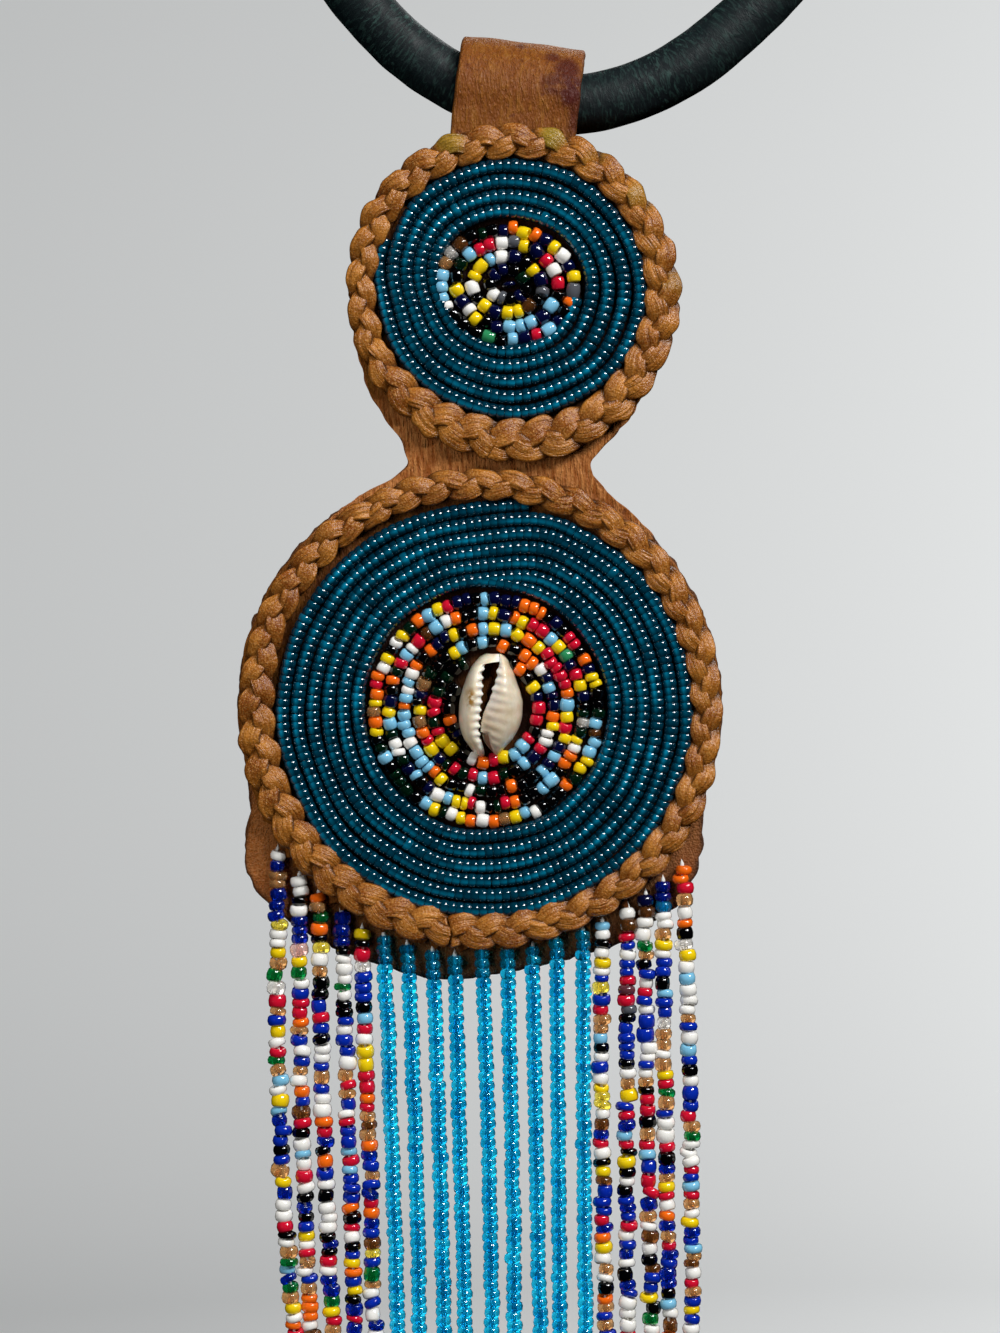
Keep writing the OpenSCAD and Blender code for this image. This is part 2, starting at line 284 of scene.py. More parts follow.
def colour(hex_text):
    """A screen colour written in hexadecimal, as linear red, green and blue."""
    values = np.array([int(hex_text[k : k + 2], 16) / 255 for k in (1, 3, 5)])
    return tuple(np.where(values <= 0.04045, values / 12.92, ((values + 0.055) / 1.055) ** 2.4))


class Finish:
    """A material being put together; its short calls add nodes and return their sockets."""

    def __init__(self, name, **settings):
        self.material = bpy.data.materials.new(name)
        self.material.use_nodes = True
        self.tree = self.material.node_tree
        self.shader = self.tree.nodes["Principled BSDF"]
        self.set(**settings)

    def put(self, socket, value):
        """Links a socket, or sets a plain value or a colour on it."""
        if isinstance(value, bpy.types.NodeSocket):
            self.tree.links.new(value, socket)
        elif socket.type == "RGBA":
            socket.default_value = (*(colour(value) if isinstance(value, str) else value), 1)
        else:
            socket.default_value = value

    def set(self, **settings):
        """Sets the shader's sockets, named in lower case with lines for spaces."""
        for key, value in settings.items():
            wanted = key.replace("_", " ").title().replace("Ior", "IOR")
            self.put(self.shader.inputs[wanted], value)
        return self.material

    def node(self, kind, inputs, output=0, **settings):
        """One node, with its inputs by place or name and its settings by name."""
        made = self.tree.nodes.new("ShaderNode" + kind)
        for key, value in settings.items():
            setattr(made, key, value)
        for key, value in inputs.items():
            self.put(made.inputs[key], value)
        return made.outputs[output]

    def place(self, stretch=(1, 1, 1), turn=0.0, use_uv=False):
        """Object coordinates in millimetres, or the surface's own, stretched and turned."""
        source = self.node("TexCoord", {}, "UV" if use_uv else "Object")
        scale = stretch if use_uv else [s / MM for s in stretch]
        return self.node("Mapping", {"Vector": source, "Rotation": (0, turn, 0), "Scale": scale})

    def noise(self, vector, scale, detail=3.0, roughness=0.5, distortion=0.0):
        """Grainy noise from zero to one; scale is in grains a millimetre."""
        inputs = {"Vector": vector, "Scale": scale, "Detail": detail, "Roughness": roughness}
        return self.node("TexNoise", {**inputs, "Distortion": distortion})

    def cells(self, vector, scale):
        """Distance to the nearest of scattered points."""
        return self.node("TexVoronoi", {"Vector": vector, "Scale": scale}, "Distance")

    def spread(self, value, low, high, to_low=0.0, to_high=1.0):
        """A value's stretch from low to high, spread over a new range and held at its ends."""
        return self.node("MapRange", {0: value, 1: low, 2: high, 3: to_low, 4: to_high})

    def times(self, a, b):
        """One value times another."""
        return self.node("Math", {0: a, 1: b}, operation="MULTIPLY")

    def layered(self, base, *layers):
        """A colour under layers, from the lowest up.

        A layer is a share and a colour, or a value, its low and high, its top share and a colour.
        """
        for share, *limits, tone in layers:
            if limits:
                low, high, top = limits
                share = self.spread(share, low, high, 0, top)
            base = self.node("Mix", {0: share, 6: base, 7: tone}, 2, data_type="RGBA")
        return base

    def tint(self, name, output="Fac"):
        """A named value or colour of the mesh's points."""
        return self.node("Attribute", {}, output, attribute_name=name)

    def relief(self, *layers):
        """Bumps from the lowest up, each a height and its real depth in millimetres."""
        below = {}
        for height, depth in layers:
            inputs = {"Height": height, "Distance": depth * MM, **below}
            below = {"Normal": self.node("Bump", inputs)}
        return below["Normal"]


class NecklaceColours(PropertyGroup):
    """Colours of the necklace's leathers and beads."""

    def swatch(label, text, hex_text):
        """A colour property."""
        return FloatVectorProperty(
            name=label, description=text, default=colour(hex_text), subtype="COLOR", min=0, max=1
        )

    strap_tan: swatch("Strap tan", "Front leather and strap", "#7e4814")
    # Also colours the creases' paler crests and the paler streaks
    strap_light: swatch("Strap light", "Where the front leather is worn pale", "#a06a28")
    stain: swatch("Stain", "Red brown stain on the strap", "#4c1c14")
    braid_tan: swatch("Braid tan", "Leather of the plaits", "#84440e")
    braid_gold: swatch("Braid gold", "Paler strips of the plaits", "#b67226")
    olive: swatch("Olive", "Yellow green patches on the small plait", "#8a7a1e")
    # This colour is both dye and painted shade in the plaits' hollows
    crevice_dye_and_shade: swatch("Crevice", "Dark dye in the plaits' hollows", "#3a1c08")
    back_brown: swatch("Back brown", "Fibrous back leather", "#5c3a20")
    ring_green: swatch("Ring green", "Leather of the neck ring", "#101a1c")
    ring_worn: swatch("Ring worn", "Fine scratches on the neck ring", "#34504a")
    teal: swatch("Teal", "Clear beads of the rows", "#002232")
    turquoise: swatch("Turquoise", "Clear beads of the middle strings", "#20c0e4")
    shell: swatch("Shell", "Cowrie", "#f0e6d0")


class NecklaceSizes(PropertyGroup):
    """Sizes of the necklace that a user would change, in millimetres."""

    def length(label, text, value, low=0.0):
        """A length in millimetres."""
        return FloatProperty(name=label, description=text, default=value, min=low)

    bead_d: length("Bead", "Diameter of the seed beads", 2.6, 1.0)
    teal_pitch: length("Teal pitch", "Length of a teal bead along its row", 1.42, 0.5)
    blue_pitch: length("Blue pitch", "Length of a blue bead along its string", 1.72, 0.5)
    strand_w: length("Strand width", "Width of a strand of the plaits", 3.8, 0.5)
    strand_t: length("Strand thickness", "Thickness of a strand of the plaits", 1.7, 0.2)
    strap_w: length("Strap width", "Width of the strap", 22.2, 5.0)
    thread_d: length("Thread", "Diameter of the white thread", 0.45, 0.1)
    fringe_end: length("Fringe end", "Depth of the strings' ends below the ring", 224.0, 160.0)
    seed: IntProperty(name="Seed", description="Start of the random draws", default=7, min=0)


# Colours of the beads by letter
SOLID_BEADS = {
    "w": "#f2f0ea", "y": "#f0cc10", "r": "#cc1430", "o": "#f46a14", "l": "#7cbede", "u": "#0a2aa4",
    "n": "#060a30", "k": "#030304", "e": "#2e8a58", "m": "#5c3038", "p": "#54565c",
}
CLEAR_BEADS = {
    "g": "#06301c", "G": "#0a7a38", "a": "#cc9860", "b": "#7a4a22", "c": "#e8e4de", "Y": "#f0dc50",
    "t": "#1490c8", "B": "#0526a0", "P": "#e8c0b8",
}
# Letters of the beads further down the strings, as often as they come
COMMON_BEADS = "wwwwwBBuuuurrrryyaakkkloGYb"

# Rows of the mixed middles from the outermost in, each read from the top to the left and round
SMALL_MIDDLE_ROWS = [
    "nkgkbcalllwkkkeklnrlnkopynwynoyo",
    "wrrlgkynwyknlllnlkrwrnyp",
    "wlyywkynyybkpnykn",
    "nnkwpknkgk",
    "kn",
]
LARGE_MIDDLE_ROWS = [
    "lknnrylogywkyworoyaoykglkgggklygwyowoaylwkkkogyyllblgkkyynokrrknkooonnn",
    "lkkowlbrwlrgoknylgwwgnlknwlyyrwkgrokkllkoowygcgknyrneylrryony",
    "lokynnokowlwlolllwllloykkwgkkokklnlnyrylorrrrryoyly",
    "lklykkgankyaoryngrgrlrgklnrwwyonnlnwookok",
    "kkgkgkgrrgryykworyllrkrrnykokrk",
    "kgkkkkoknkkrkkykkrknkk",
]

# Strings of the fringe, left to right: place of the top to the right of and below the ring's
# lowest middle, drift of the end, belly, and the letters of the first beads
LEFT_FRINGE = [
    (-48.9, 133.2, 1.0, -1.3, "wBaaBBBYwwyaGcrauywrGal"),
    (-45.1, 137.9, 0.1, -0.7, "wwkwBBBPyGwurroauwu"),
    (-41.7, 141.1, 0.5, -0.4, "oaGokYwakkurukwwua"),
    (-37.7, 144.6, 0.6, 0.0, "BBBkwwwGwkkuwuuw"),
    (-34.0, 148.0, 0.5, -0.1, "ykrcuuuklrwyyrr"),
]
BLUE_FRINGE = [
    (-30.1, 149.2, 0.7, 0.1, ""), (-25.9, 151.0, 0.3, 0.4, ""), (-21.3, 152.2, 0.2, 0.2, ""),
    (-17.3, 153.2, 0.2, -0.1, ""), (-12.3, 152.2, 0.0, 0.2, ""), (-7.8, 152.3, -0.5, 0.2, ""),
    (-3.1, 151.8, -0.5, -0.1, ""), (1.2, 150.6, -1.2, 0.0, ""), (6.1, 149.2, -1.5, -0.1, ""),
]
RIGHT_FRINGE = [
    (9.6, 147.7, -1.2, -0.4, "lwkwywuYuraalkwuw"),
    (14.3, 145.3, -2.1, -0.1, "wbruwuurmrpkuuuukw"),
    (17.6, 143.0, -0.8, -0.3, "nbwwGakuwruwuuwwuwakr"),
    (20.8, 140.6, -1.1, 0.0, "BBtwwaywuukluucaawayrGau"),
    (24.3, 137.8, -0.4, 0.6, "oorawokcywlwwwauwlukwu"),
]


def placed_beads(place, spots, headings, *sizes):
    """Beads moved to the part's frame: their middles, axes, radii, lengths and squareness."""
    base = place(spots)
    return base, place(spots + headings) - base, *sizes


def bead_solids(centres, axes, radius, length, square, sides, painted_light_side=None):
    """Drilled beads as one set of points and faces, and how many points each has.

    A bead's section is a squared oval between its bore and its outside, turned round its axis:
    its distance from the axis goes as the cosine and its place along it as the sine, both raised
    to the bead's squareness. Most of its points lie on the outside. If a heading for a painted
    line of light is given, the first point of each ring is the one turned towards it.
    """
    bore = 0.45
    around = np.radians([-82, -45, 0, 45, 82, 145, 215])
    power = square[:, None]
    middle, half = (radius + bore) / 2, (radius - bore) / 2
    out = middle[:, None] + half[:, None] * signed_power(np.cos(around), power)
    along = length[:, None] / 2 * signed_power(np.sin(around), power)
    axes = unit(axes)
    if painted_light_side is None:
        side = unit(np.cross(axes, np.array([0.31, 0.87, 0.38])))
    else:
        side = unit(np.array(painted_light_side) - axes * (axes @ np.array(painted_light_side))[:, None])
    ring = circles(side, np.cross(axes, side), sides)
    points = (
        centres[:, None, None, :]
        + along[:, :, None, None] * axes[:, None, None, :]
        + out[:, :, None, None] * ring[:, None, :, :]
    )
    one = grid_faces(len(around), sides, wrap_rows=True, wrap_columns=True)[:, ::-1]
    each = len(around) * sides
    return points.reshape(-1, 3), copies(one, len(centres), each), each


def mixed_beads(name, beads, letters, nodes, materials, sides=10):
    """A piece of many beads, each with its letter's colour and its solid or clear glass."""
    points, faces, each = bead_solids(*beads, sides)
    tones = {letter: colour(text) for letter, text in {**SOLID_BEADS, **CLEAR_BEADS}.items()}
    colours = np.array([tones[letter] for letter in letters])
    clear = np.array([letter in CLEAR_BEADS for letter in letters], dtype=np.int32)
    mesh_piece(
        name, points, faces, "mixed_glass", nodes, materials,
        tints={"bead": np.repeat(colours, each, axis=0)}, index=np.repeat(clear, each),
    )


def oval(at, semi, angle):
    """Points of an oval on the pendant, x and height, at angles in radians."""
    return stacked(at[0] + semi[0] * np.cos(angle), at[1] + semi[1] * np.sin(angle))


def coil_path(start, turns, step, semi, pitch, outer_at, inner_at, seed):
    """A row laid round and round inside an oval, seen from the front.

    Each turn keeps its distance from the oval, and over its last part, step of a turn long,
    moves in by one pitch. The very start comes in from under the plait in the same way. The
    oval's middle moves from its outer to its inner place, and the row sways slightly.
    """
    t = np.linspace(-0.6 * step, turns, int(360 * turns))
    angle = math.radians(start) + 2 * math.pi * t
    depth = np.floor(t) + smooth_step(1 - step, 0.998, t % 1)
    # The last turn has no next one to step in for
    depth = np.minimum(depth, math.ceil(turns) - 1)[:, None]
    share = (t / turns)[:, None]
    at = np.array(outer_at) * (1 - share) + np.array(inner_at) * share
    way = stacked(np.cos(angle), np.sin(angle))
    reach = np.array(semi) - pitch * depth
    sway = 0.1 * ripple(seed, 16, *(reach * way).T)[:, None]
    x, z = (at + (reach + sway) * way).T
    return stacked(x, -1.2 * smooth_step(0, -0.6 * step, t), z)


def teal_rows(name, node, coil, sizes, seed, material):
    """Short clear beads sewn down in a spiral, the thread's way along each bead's axis."""
    rng = np.random.default_rng(seed)
    path = coil_path(*coil, seed)
    run = run_along(path)
    count = int(run[-1] / sizes.teal_pitch)
    at = (np.arange(count) + 0.5) * run[-1] / count
    spots = on_path(path, run, at)
    headings = unit(on_path(path, run, at + 0.2) - on_path(path, run, at - 0.2))
    radius = sizes.bead_d / 2 * rng.normal(1.01, 0.012, count)
    spots[:, 1] += BEAD_FLOOR + radius + rng.normal(0, 0.04, count)
    headings = headings + rng.normal(0, 0.035, (count, 3))
    length = sizes.teal_pitch * rng.normal(1.03, 0.02, count)
    square = rng.uniform(0.5, 0.62, count)
    beads = placed_beads(placed_on_pendant, spots, headings, radius, length, square)
    # The light that gathers on the side of the glass away from the lamp is a painted line of light;
    # few beads are brighter
    sides, away_from_light = 12, (-0.32, -0.88, -0.34)
    points, faces, each = bead_solids(*beads, sides, away_from_light)
    shade = np.where(rng.uniform(0, 1, count) < 0.01, 0.3, rng.uniform(0, 0.08, count))
    line = 0.5 + 0.22 * ripple(seed + 5, 9, *spots.T) + rng.normal(0, 0.1, count)
    line = np.repeat(line.clip(0.15, 1), each)
    line *= np.tile(np.arange(sides) == 0, len(points) // sides)
    tints = {"bead": np.maximum(np.repeat(shade, each), line)}
    mesh_piece(name, points, faces, "teal_glass", [node], [material], tints=tints)


def mixed_middle(name, node, rows, depth, at, semi, sizes, seed, materials, keep=None):
    """Rings of solid and clear beads, one for each charted row, from the rim to the middle."""
    rng = np.random.default_rng(seed)
    parts, start = [], math.radians(93)
    for k, row in enumerate(rows):
        reach = np.array(semi) * (1 - (k + 0.5) / depth)
        angle = np.linspace(0, 2 * math.pi, 721) + start
        run = run_along(oval(at, reach, angle))
        widths = rng.normal(1, 0.16, len(row)).clip(0.7, 1.4)
        widths *= run[-1] / widths.sum()
        turn = np.interp(np.cumsum(widths) - widths / 2, run, angle)
        sway = rng.normal(0, 0.19, len(row)).clip(-0.4, 0.4)[:, None]
        x, z = (oval(at, reach, turn) + sway * stacked(np.cos(turn), np.sin(turn))).T
        ahead = stacked(-np.sin(turn) * semi[0], 0, np.cos(turn) * semi[1])
        parts.append((stacked(x, 0, z), ahead, widths * 0.98, list(row)))
    spots, headings, lengths, letters = map(np.concatenate, zip(*parts))
    if keep:
        kept = keep(spots)
        spots, headings, lengths, letters = (v[kept] for v in (spots, headings, lengths, letters))
    count = len(spots)
    radius = sizes.bead_d / 2 * rng.normal(1.0, 0.035, count).clip(0.92, 1.08)
    spots[:, 1] = BEAD_FLOOR + radius + rng.normal(0.05, 0.12, count).clip(-0.1, 0.35)
    headings = unit(headings) + rng.normal(0, 0.15, (count, 3))
    square = rng.uniform(0.75, 1.0, count)
    beads = placed_beads(placed_on_pendant, spots, headings, radius, lengths, square)
    mixed_beads(name, beads, letters, [node], materials)


def string_path(row, end, below):
    """A string's centreline below its top: straight down, with its drift and belly."""
    x, drop, drift, belly = row[:4]
    share = below / (end - drop)
    across = x + drift * share + 4 * belly * share * (1 - share)
    # The strings hang just in front of the tilted back leather's edge
    edge = math.cos(RING_LEAN) * drop - math.sin(RING_LEAN) * x + FOLD_LIFT
    depth = (BACK_FACE + STRING_GAP) / math.cos(PENDANT_TILT) - edge * math.tan(PENDANT_TILT)
    return stacked(across, depth, -drop - below)


def fringe_strings(name, nodes, fringe, sizes, seed, blue, materials):
    """Strings of loose beads, each a little askew on its thread."""
    rng = np.random.default_rng(seed)
    # How far the beads lie aside and aslant, their radii and their squareness
    if blue:
        aside, aslant, size, square = 0.09, 0.07, (1.14, 0.025), (0.95, 1.05)
    else:
        aside, aslant, size, square = 0.2, 0.15, (1.22, 0.08), (0.82, 1.08)
    parts, letters, most = [], "", 80
    for row in fringe:
        if blue:
            long = rng.normal(sizes.blue_pitch, 0.07, most).clip(1.5, 1.95)
        else:
            long = rng.choice([1.5, 1.75, 2.0, 2.4], most, p=[0.3, 0.35, 0.22, 0.13])
            long = long + rng.normal(0, 0.1, most)
        long = long[np.cumsum(long) < sizes.fringe_end - row[1]]
        count = len(long)
        centre = string_path(row, sizes.fringe_end, np.cumsum(long) - long / 2)
        centre[:, 0] += rng.normal(0, aside, count)
        centre[:, 1] += rng.normal(0, aside, count)
        heading = np.array([0, 0, -1]) + rng.normal(0, aslant, (count, 3))
        radius = sizes.bead_d / 2 * rng.normal(*size, count).clip(1.02, 1.38)
        parts.append((centre, heading, radius, long * 1.03, rng.uniform(*square, count)))
        common = rng.choice(list(COMMON_BEADS), count)
        letters += row[4][:count] + "".join(common[len(row[4]) :])
    beads = placed_beads(placed_hanging, *map(np.concatenate, zip(*parts)))
    if blue:
        points, faces, each = bead_solids(*beads, 12)
        tints = {"bead": np.repeat(rng.uniform(0, 1, len(letters)), each)}
        mesh_piece(name, points, faces, "blue_glass", nodes, materials, tints=tints)
    else:
        mixed_beads(name, beads, letters, nodes, materials, sides=12)


def tube_along(path, radius, sides):
    """A round tube along a path, its radius one number a point, closed at its ends."""
    heading = unit(np.gradient(path, axis=0))
    side = unit(np.cross(heading, np.array([0.13, 0.98, 0.12])))
    ring = circles(side, np.cross(heading, side), sides)
    points = path[:, None, :] + np.asarray(radius)[:, None, None] * ring
    return points.reshape(-1, 3), capped(len(path), sides)


def ring_path(count):
    """The neck ring's centreline and outward headings, upright, from the clasp round to it again.

    It is a chain of arcs that meet smoothly: bottom, flanks, sides and top, with a straight
    run into the clasp at each end.
    """
    bottom, flank, side_r, straight, run_in = 38.5, 55.0, 125.0, 14.0, 7.8
    flank_from, side_from, top_from = np.radians([25, 50, 90])

    def outward(h):
        """The heading away from the middle, at an angle from straight down."""
        return stacked(np.sin(h), -np.cos(h))

    bottom_at = np.array([0, bottom])
    flank_at = bottom_at + (bottom - flank) * outward(flank_from)
    side_at = flank_at + (flank - side_r) * outward(side_from)
    top_at = np.array([straight, side_at[1]])
    top_r = side_r + side_at[0] - straight
    h = np.linspace(-math.pi, math.pi, count)
    a = np.abs(h)
    picks = [a <= flank_from, a <= side_from, a <= top_from]
    radius = np.select(picks, [bottom, flank, side_r], top_r)
    at = np.select([p[:, None] for p in picks], [bottom_at, flank_at, side_at], top_at)
    spot = at + radius[:, None] * outward(a)
    spot[:, 0] *= np.sign(h)
    slide = stacked(np.linspace(run_in, 0.6, 5), 0)
    spot = np.concatenate([spot[:1] + slide, spot, spot[-1:] - slide[::-1]])
    return spot, outward(np.pad(h, 5, mode="edge"))


def ring_leather(colours):
    """Thin dark hide, half gloss: fine grain, hair-thin worn scratches across, dull patches."""
    look = Finish("ring_leather", specular_ior_level=0.3)
    around = look.place(use_uv=True)
    scratches = look.noise(look.place((26, 90, 1), use_uv=True), 1.2, 4, 0.62, 1.6)
    patches = look.noise(around, 5.5, 3, 0.6)
    where = look.spread(patches, 0.36, 0.66, 0.25, 1.0)
    worn = look.times(look.spread(scratches, 0.5, 0.68), where)
    return look.set(
        base_color=look.layered(
            colours.ring_green, (patches, 0.3, 0.75, 1, "#0a1014"), (worn, colours.ring_worn)
        ),
        roughness=look.spread(look.noise(around, 30, 3), 0.3, 0.7, 0.5, 0.68),
        normal=look.relief(
            (look.noise(around, 110, 3, 0.6), 0.09),
            (scratches, 0.12),
            (look.noise(around, 22, 2), 0.2),
        ),
    )


def tan_leather(colours):
    """Undyed hide: fine upright creases with paler crests and darker troughs, paler streaks,
    scattered specks and one stain; painted light over the waist and painted shade under the beads.
    """
    look = Finish("tan_leather", specular_ior_level=0.22)
    still = look.place()
    creases = look.noise(look.place((2.0, 2.0, 0.42)), 1.0, 3, 0.55, 0.8)
    grain = look.cells(look.place((1, 1, 0.7)), 2.4)
    clouds = look.noise(still, 0.09, 3, 0.55)
    streaks = look.noise(look.place((0.7, 0.7, 0.1)), 1.0, 2, 0.5, 0.3)
    # Stretched between the discs the hide stands in fine upright ribs
    ribs = look.noise(look.place((1.8, 1.8, 0.2)), 1.0, 2, 0.5, 0.5)
    blots = look.spread(look.noise(still, 0.5, 4), 0.24, 0.44)
    base = look.layered(
        colours.strap_tan,
        (clouds, 0.35, 0.7, 1, "#7c441a"),
        (streaks, 0.5, 0.7, 0.45, colours.strap_light),
        (creases, 0.54, 0.7, 0.5, colours.strap_light),
        (creases, 0.47, 0.36, 0.55, "#6a3610"),
        # Over the waist the hide is painted lighter against the plaits' shadow, with painted light
        # on its rib crests
        (look.tint("ribbed"), look.layered("#94501e", (ribs, 0.36, 0.64, 1, "#c88448"))),
        (look.noise(still, 0.55, 2, 0.4), 0.69, 0.74, 0.6, "#5a2a16"),
        (look.times(look.tint("stain"), blots), colours.stain),
        # The edge tint darkens the torn rim, the sheet's rear side and the strap's sides, and under
        # the beads it is painted shade with their dark threads
        (look.tint("edge"), "#2a140c"),
    )
    standing = look.times(ribs, look.tint("ribbed"))
    return look.set(
        base_color=base,
        roughness=look.spread(creases, 0.3, 0.7, 0.56, 0.4),
        normal=look.relief((creases, 0.55), (standing, 0.6), (grain, 0.09)),
    )


def braid_leather(colours):
    """Narrow strips of hide: creases along and across, dye and painted shade in the hollows,
    painted highlights at the pores, olive patches.
    """
    look = Finish("braid_leather", specular_ior_level=0.6)
    still = look.place()
    along = look.noise(look.place((150, 17, 1), use_uv=True), 0.8, 3, 0.55, 0.7)
    across = look.noise(look.place((60, 190, 1), use_uv=True), 0.8, 3, 0.6, 0.8)
    pores_and_highlights = look.noise(still, 3.0, 4, 0.65)
    grain = look.cells(still, 2.4)
    # Wrinkles are thin lines where the noise along the strip passes a level
    above = look.node("Math", {0: along, 1: 0.48}, operation="SUBTRACT")
    from_level = look.node("Math", {0: above, 1: 0}, operation="ABSOLUTE")
    wrinkles = look.spread(from_level, 0, 0.035, 1, 0)
    base = look.layered(
        colours.braid_tan,
        (look.noise(still, 0.16, 3, 0.6), 0.35, 0.65, 1, colours.braid_gold),
        # Pale gold speckles at the pores are painted highlights
        (pores_and_highlights, 0.48, 0.7, 0.7, "#e0a456"),
        (along, 0.46, 0.32, 0.5, "#64300c"),
        (look.times(wrinkles, 0.35), "#5a2a0c"),
        (look.tint("olive"), colours.olive),
        # Painted shade, with some dye, in the strands' hollows
        (look.tint("low"), colours.crevice_dye_and_shade),
    )
    return look.set(
        base_color=base,
        roughness=look.spread(pores_and_highlights, 0.3, 0.7, 0.22, 0.4),
        normal=look.relief((along, 0.55), (across, 0.14), (pores_and_highlights, 0.1), (grain, 0.08)),
    )


def back_leather(colours):
    """The rough back hide: tan shiny grain at the left corner, dark matted fibres elsewhere."""
    look = Finish("back_leather", specular_ior_level=0.35)
    still = look.place()
    fibres = look.noise(look.place((1.6, 1.6, 0.35), turn=0.25), 1.4, 5, 0.65, 0.7)
    bumps = look.cells(still, 2.4)
    clouds = look.noise(still, 0.14, 3, 0.6)
    dark = look.layered(
        colours.back_brown,
        (clouds, 0.4, 0.68, 1, "#7a4622"),
        # Just below the plait the hide is paler suede, partly painted light against the plait's
        # shadow
        (look.tint("suede"), "#8c5a30"),
        (fibres, 0.5, 0.72, 0.6, "#a8713c"),
        (fibres, 0.46, 0.32, 0.6, "#3c2412"),
    )
    tan = look.layered(
        "#a05420", (clouds, 0.3, 0.7, 1, "#b46a2c"), (bumps, 0.3, 0.65, 0.4, "#c88a54")
    )
    smooth = look.tint("smooth")
    return look.set(
        base_color=look.layered(dark, (smooth, tan), (look.tint("edge"), "#2c1810")),
        roughness=look.spread(smooth, 0, 1, 0.75, 0.38),
        normal=look.relief((fibres, 0.35), (bumps, 0.16)),
    )


def clear_glass(name, shade, bright, clearness, roughness):
    """Clear coloured glass: a little darker or lighter from bead to bead, and lighter along any
    painted line of light.
    """
    look = Finish(name, roughness=roughness, ior=1.2, transmission_weight=clearness)
    base = look.layered(shade, (look.tint("bead"), bright))
    return look.set(base_color=base, coat_weight=1.0, coat_roughness=0.03, coat_ior=1.7)


def mixed_glasses():
    """The solid and the clear glass of the mixed beads, coloured bead by bead."""
    looks = []
    for name, clearness in (("bead_glass_solid", 0.0), ("bead_glass_clear", 0.7)):
        found = bpy.data.materials.get(name)
        if found is None:
            look = Finish(name, roughness=0.12, ior=1.3, transmission_weight=clearness)
            base = look.tint("bead", "Color")
            found = look.set(base_color=base, coat_weight=1.0, coat_roughness=0.03, coat_ior=1.6)
        looks.append(found)
    return looks


def shell_polish(colours):
    """Cowrie: cream, paler lips, faint bands and a tan stain on the left lip."""
    look = Finish("cowrie_shell", roughness=0.3, coat_weight=0.35, coat_roughness=0.12)
    look.set(subsurface_weight=0.15, subsurface_scale=0.002)
    still = look.place()
    blots = look.spread(look.noise(still, 1.1, 4), 0.34, 0.54)
    specks = look.spread(look.noise(still, 2.4, 2), 0.74, 0.78, 0, 0.7)
    base = look.layered(
        colours.shell,
        (look.noise(still, 0.35, 3, 0.6), 0.35, 0.7, 1, "#dcc8a4"),
        (look.tint("lip"), "#f4efe4"),
        (look.times(look.tint("stain"), blots), "#9c7028"),
        (look.times(specks, look.tint("lip")), "#6a5030"),
        # Brown inside, and painted shade where the right lip rolls down to the slit
        (look.tint("inside"), "#8e6450"),
    )
    return look.set(base_color=base, normal=look.relief((look.noise(still, 1.2, 3), 0.06)))


def aged_brass():
    """Plain brass, dull and a little pitted."""
    look = Finish("aged_brass", metallic=1.0)
    still = look.place()
    clouds = look.noise(still, 0.25, 4, 0.6)
    return look.set(
        base_color=look.layered("#b08c4a", (clouds, 0.35, 0.7, 1, "#6a5226")),
        roughness=look.spread(clouds, 0.3, 0.7, 0.3, 0.55),
        normal=look.relief((look.noise(still, 1.6, 3), 0.05)),
    )


def white_thread():
    """White cotton thread with its twist."""
    made = bpy.data.materials.get("white_thread")
    if made is None:
        look = Finish("white_thread", base_color="#e8e6e0", roughness=0.8)
        made = look.set(normal=look.relief((look.noise(look.place(), 6, 2), 0.08)))
    return made


def leather_hair():
    """Loose brown fibres of the torn edge."""
    look = Finish("leather_hair", roughness=0.75)
    return look.set(base_color=look.layered("#4a2814", (look.tint("shade"), "#a87444")))


class NECKLACE_OT_neck_ring(Operator):
    """Makes the neck ring: a tube of leather along its loop, slightly uneven"""

    bl_idname = "necklace.neck_ring"
    bl_label = "Neck ring"

    def execute(self, context):
        low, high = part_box("neck_ring")
        radius = (high[1] - low[1]) / 2 / MM
        # The uneven leather keeps a little inside the solid tube
        rings, sides, inset = 640, 40, 0.12
        spot, out = ring_path(rings)
        run = run_along(spot)[:, None]
        turn = full_turn(sides)[None, :]
        c, s = np.cos(turn), np.sin(turn)
        uneven = 0.10 * ripple(3, 26, run, 12 * c, 12 * s) + 0.035 * ripple(4, 6, run, 9 * c, 9 * s)
        size = radius - inset + uneven
        x, z = (spot[:, k, None] + size * c * out[:, k, None] for k in (0, 1))
        mesh_piece(
            "neck_tube", placed_on_ring(stacked(x, size * s, z).reshape(-1, 3)),
            capped(len(spot), sides), "ring_leather", ["neck_ring"],
            [ring_leather(context.scene.necklace_colours)], NECK,
            uv=stacked(turn * radius / 100, run / 100).reshape(-1, 2),
        )
        return {"FINISHED"}


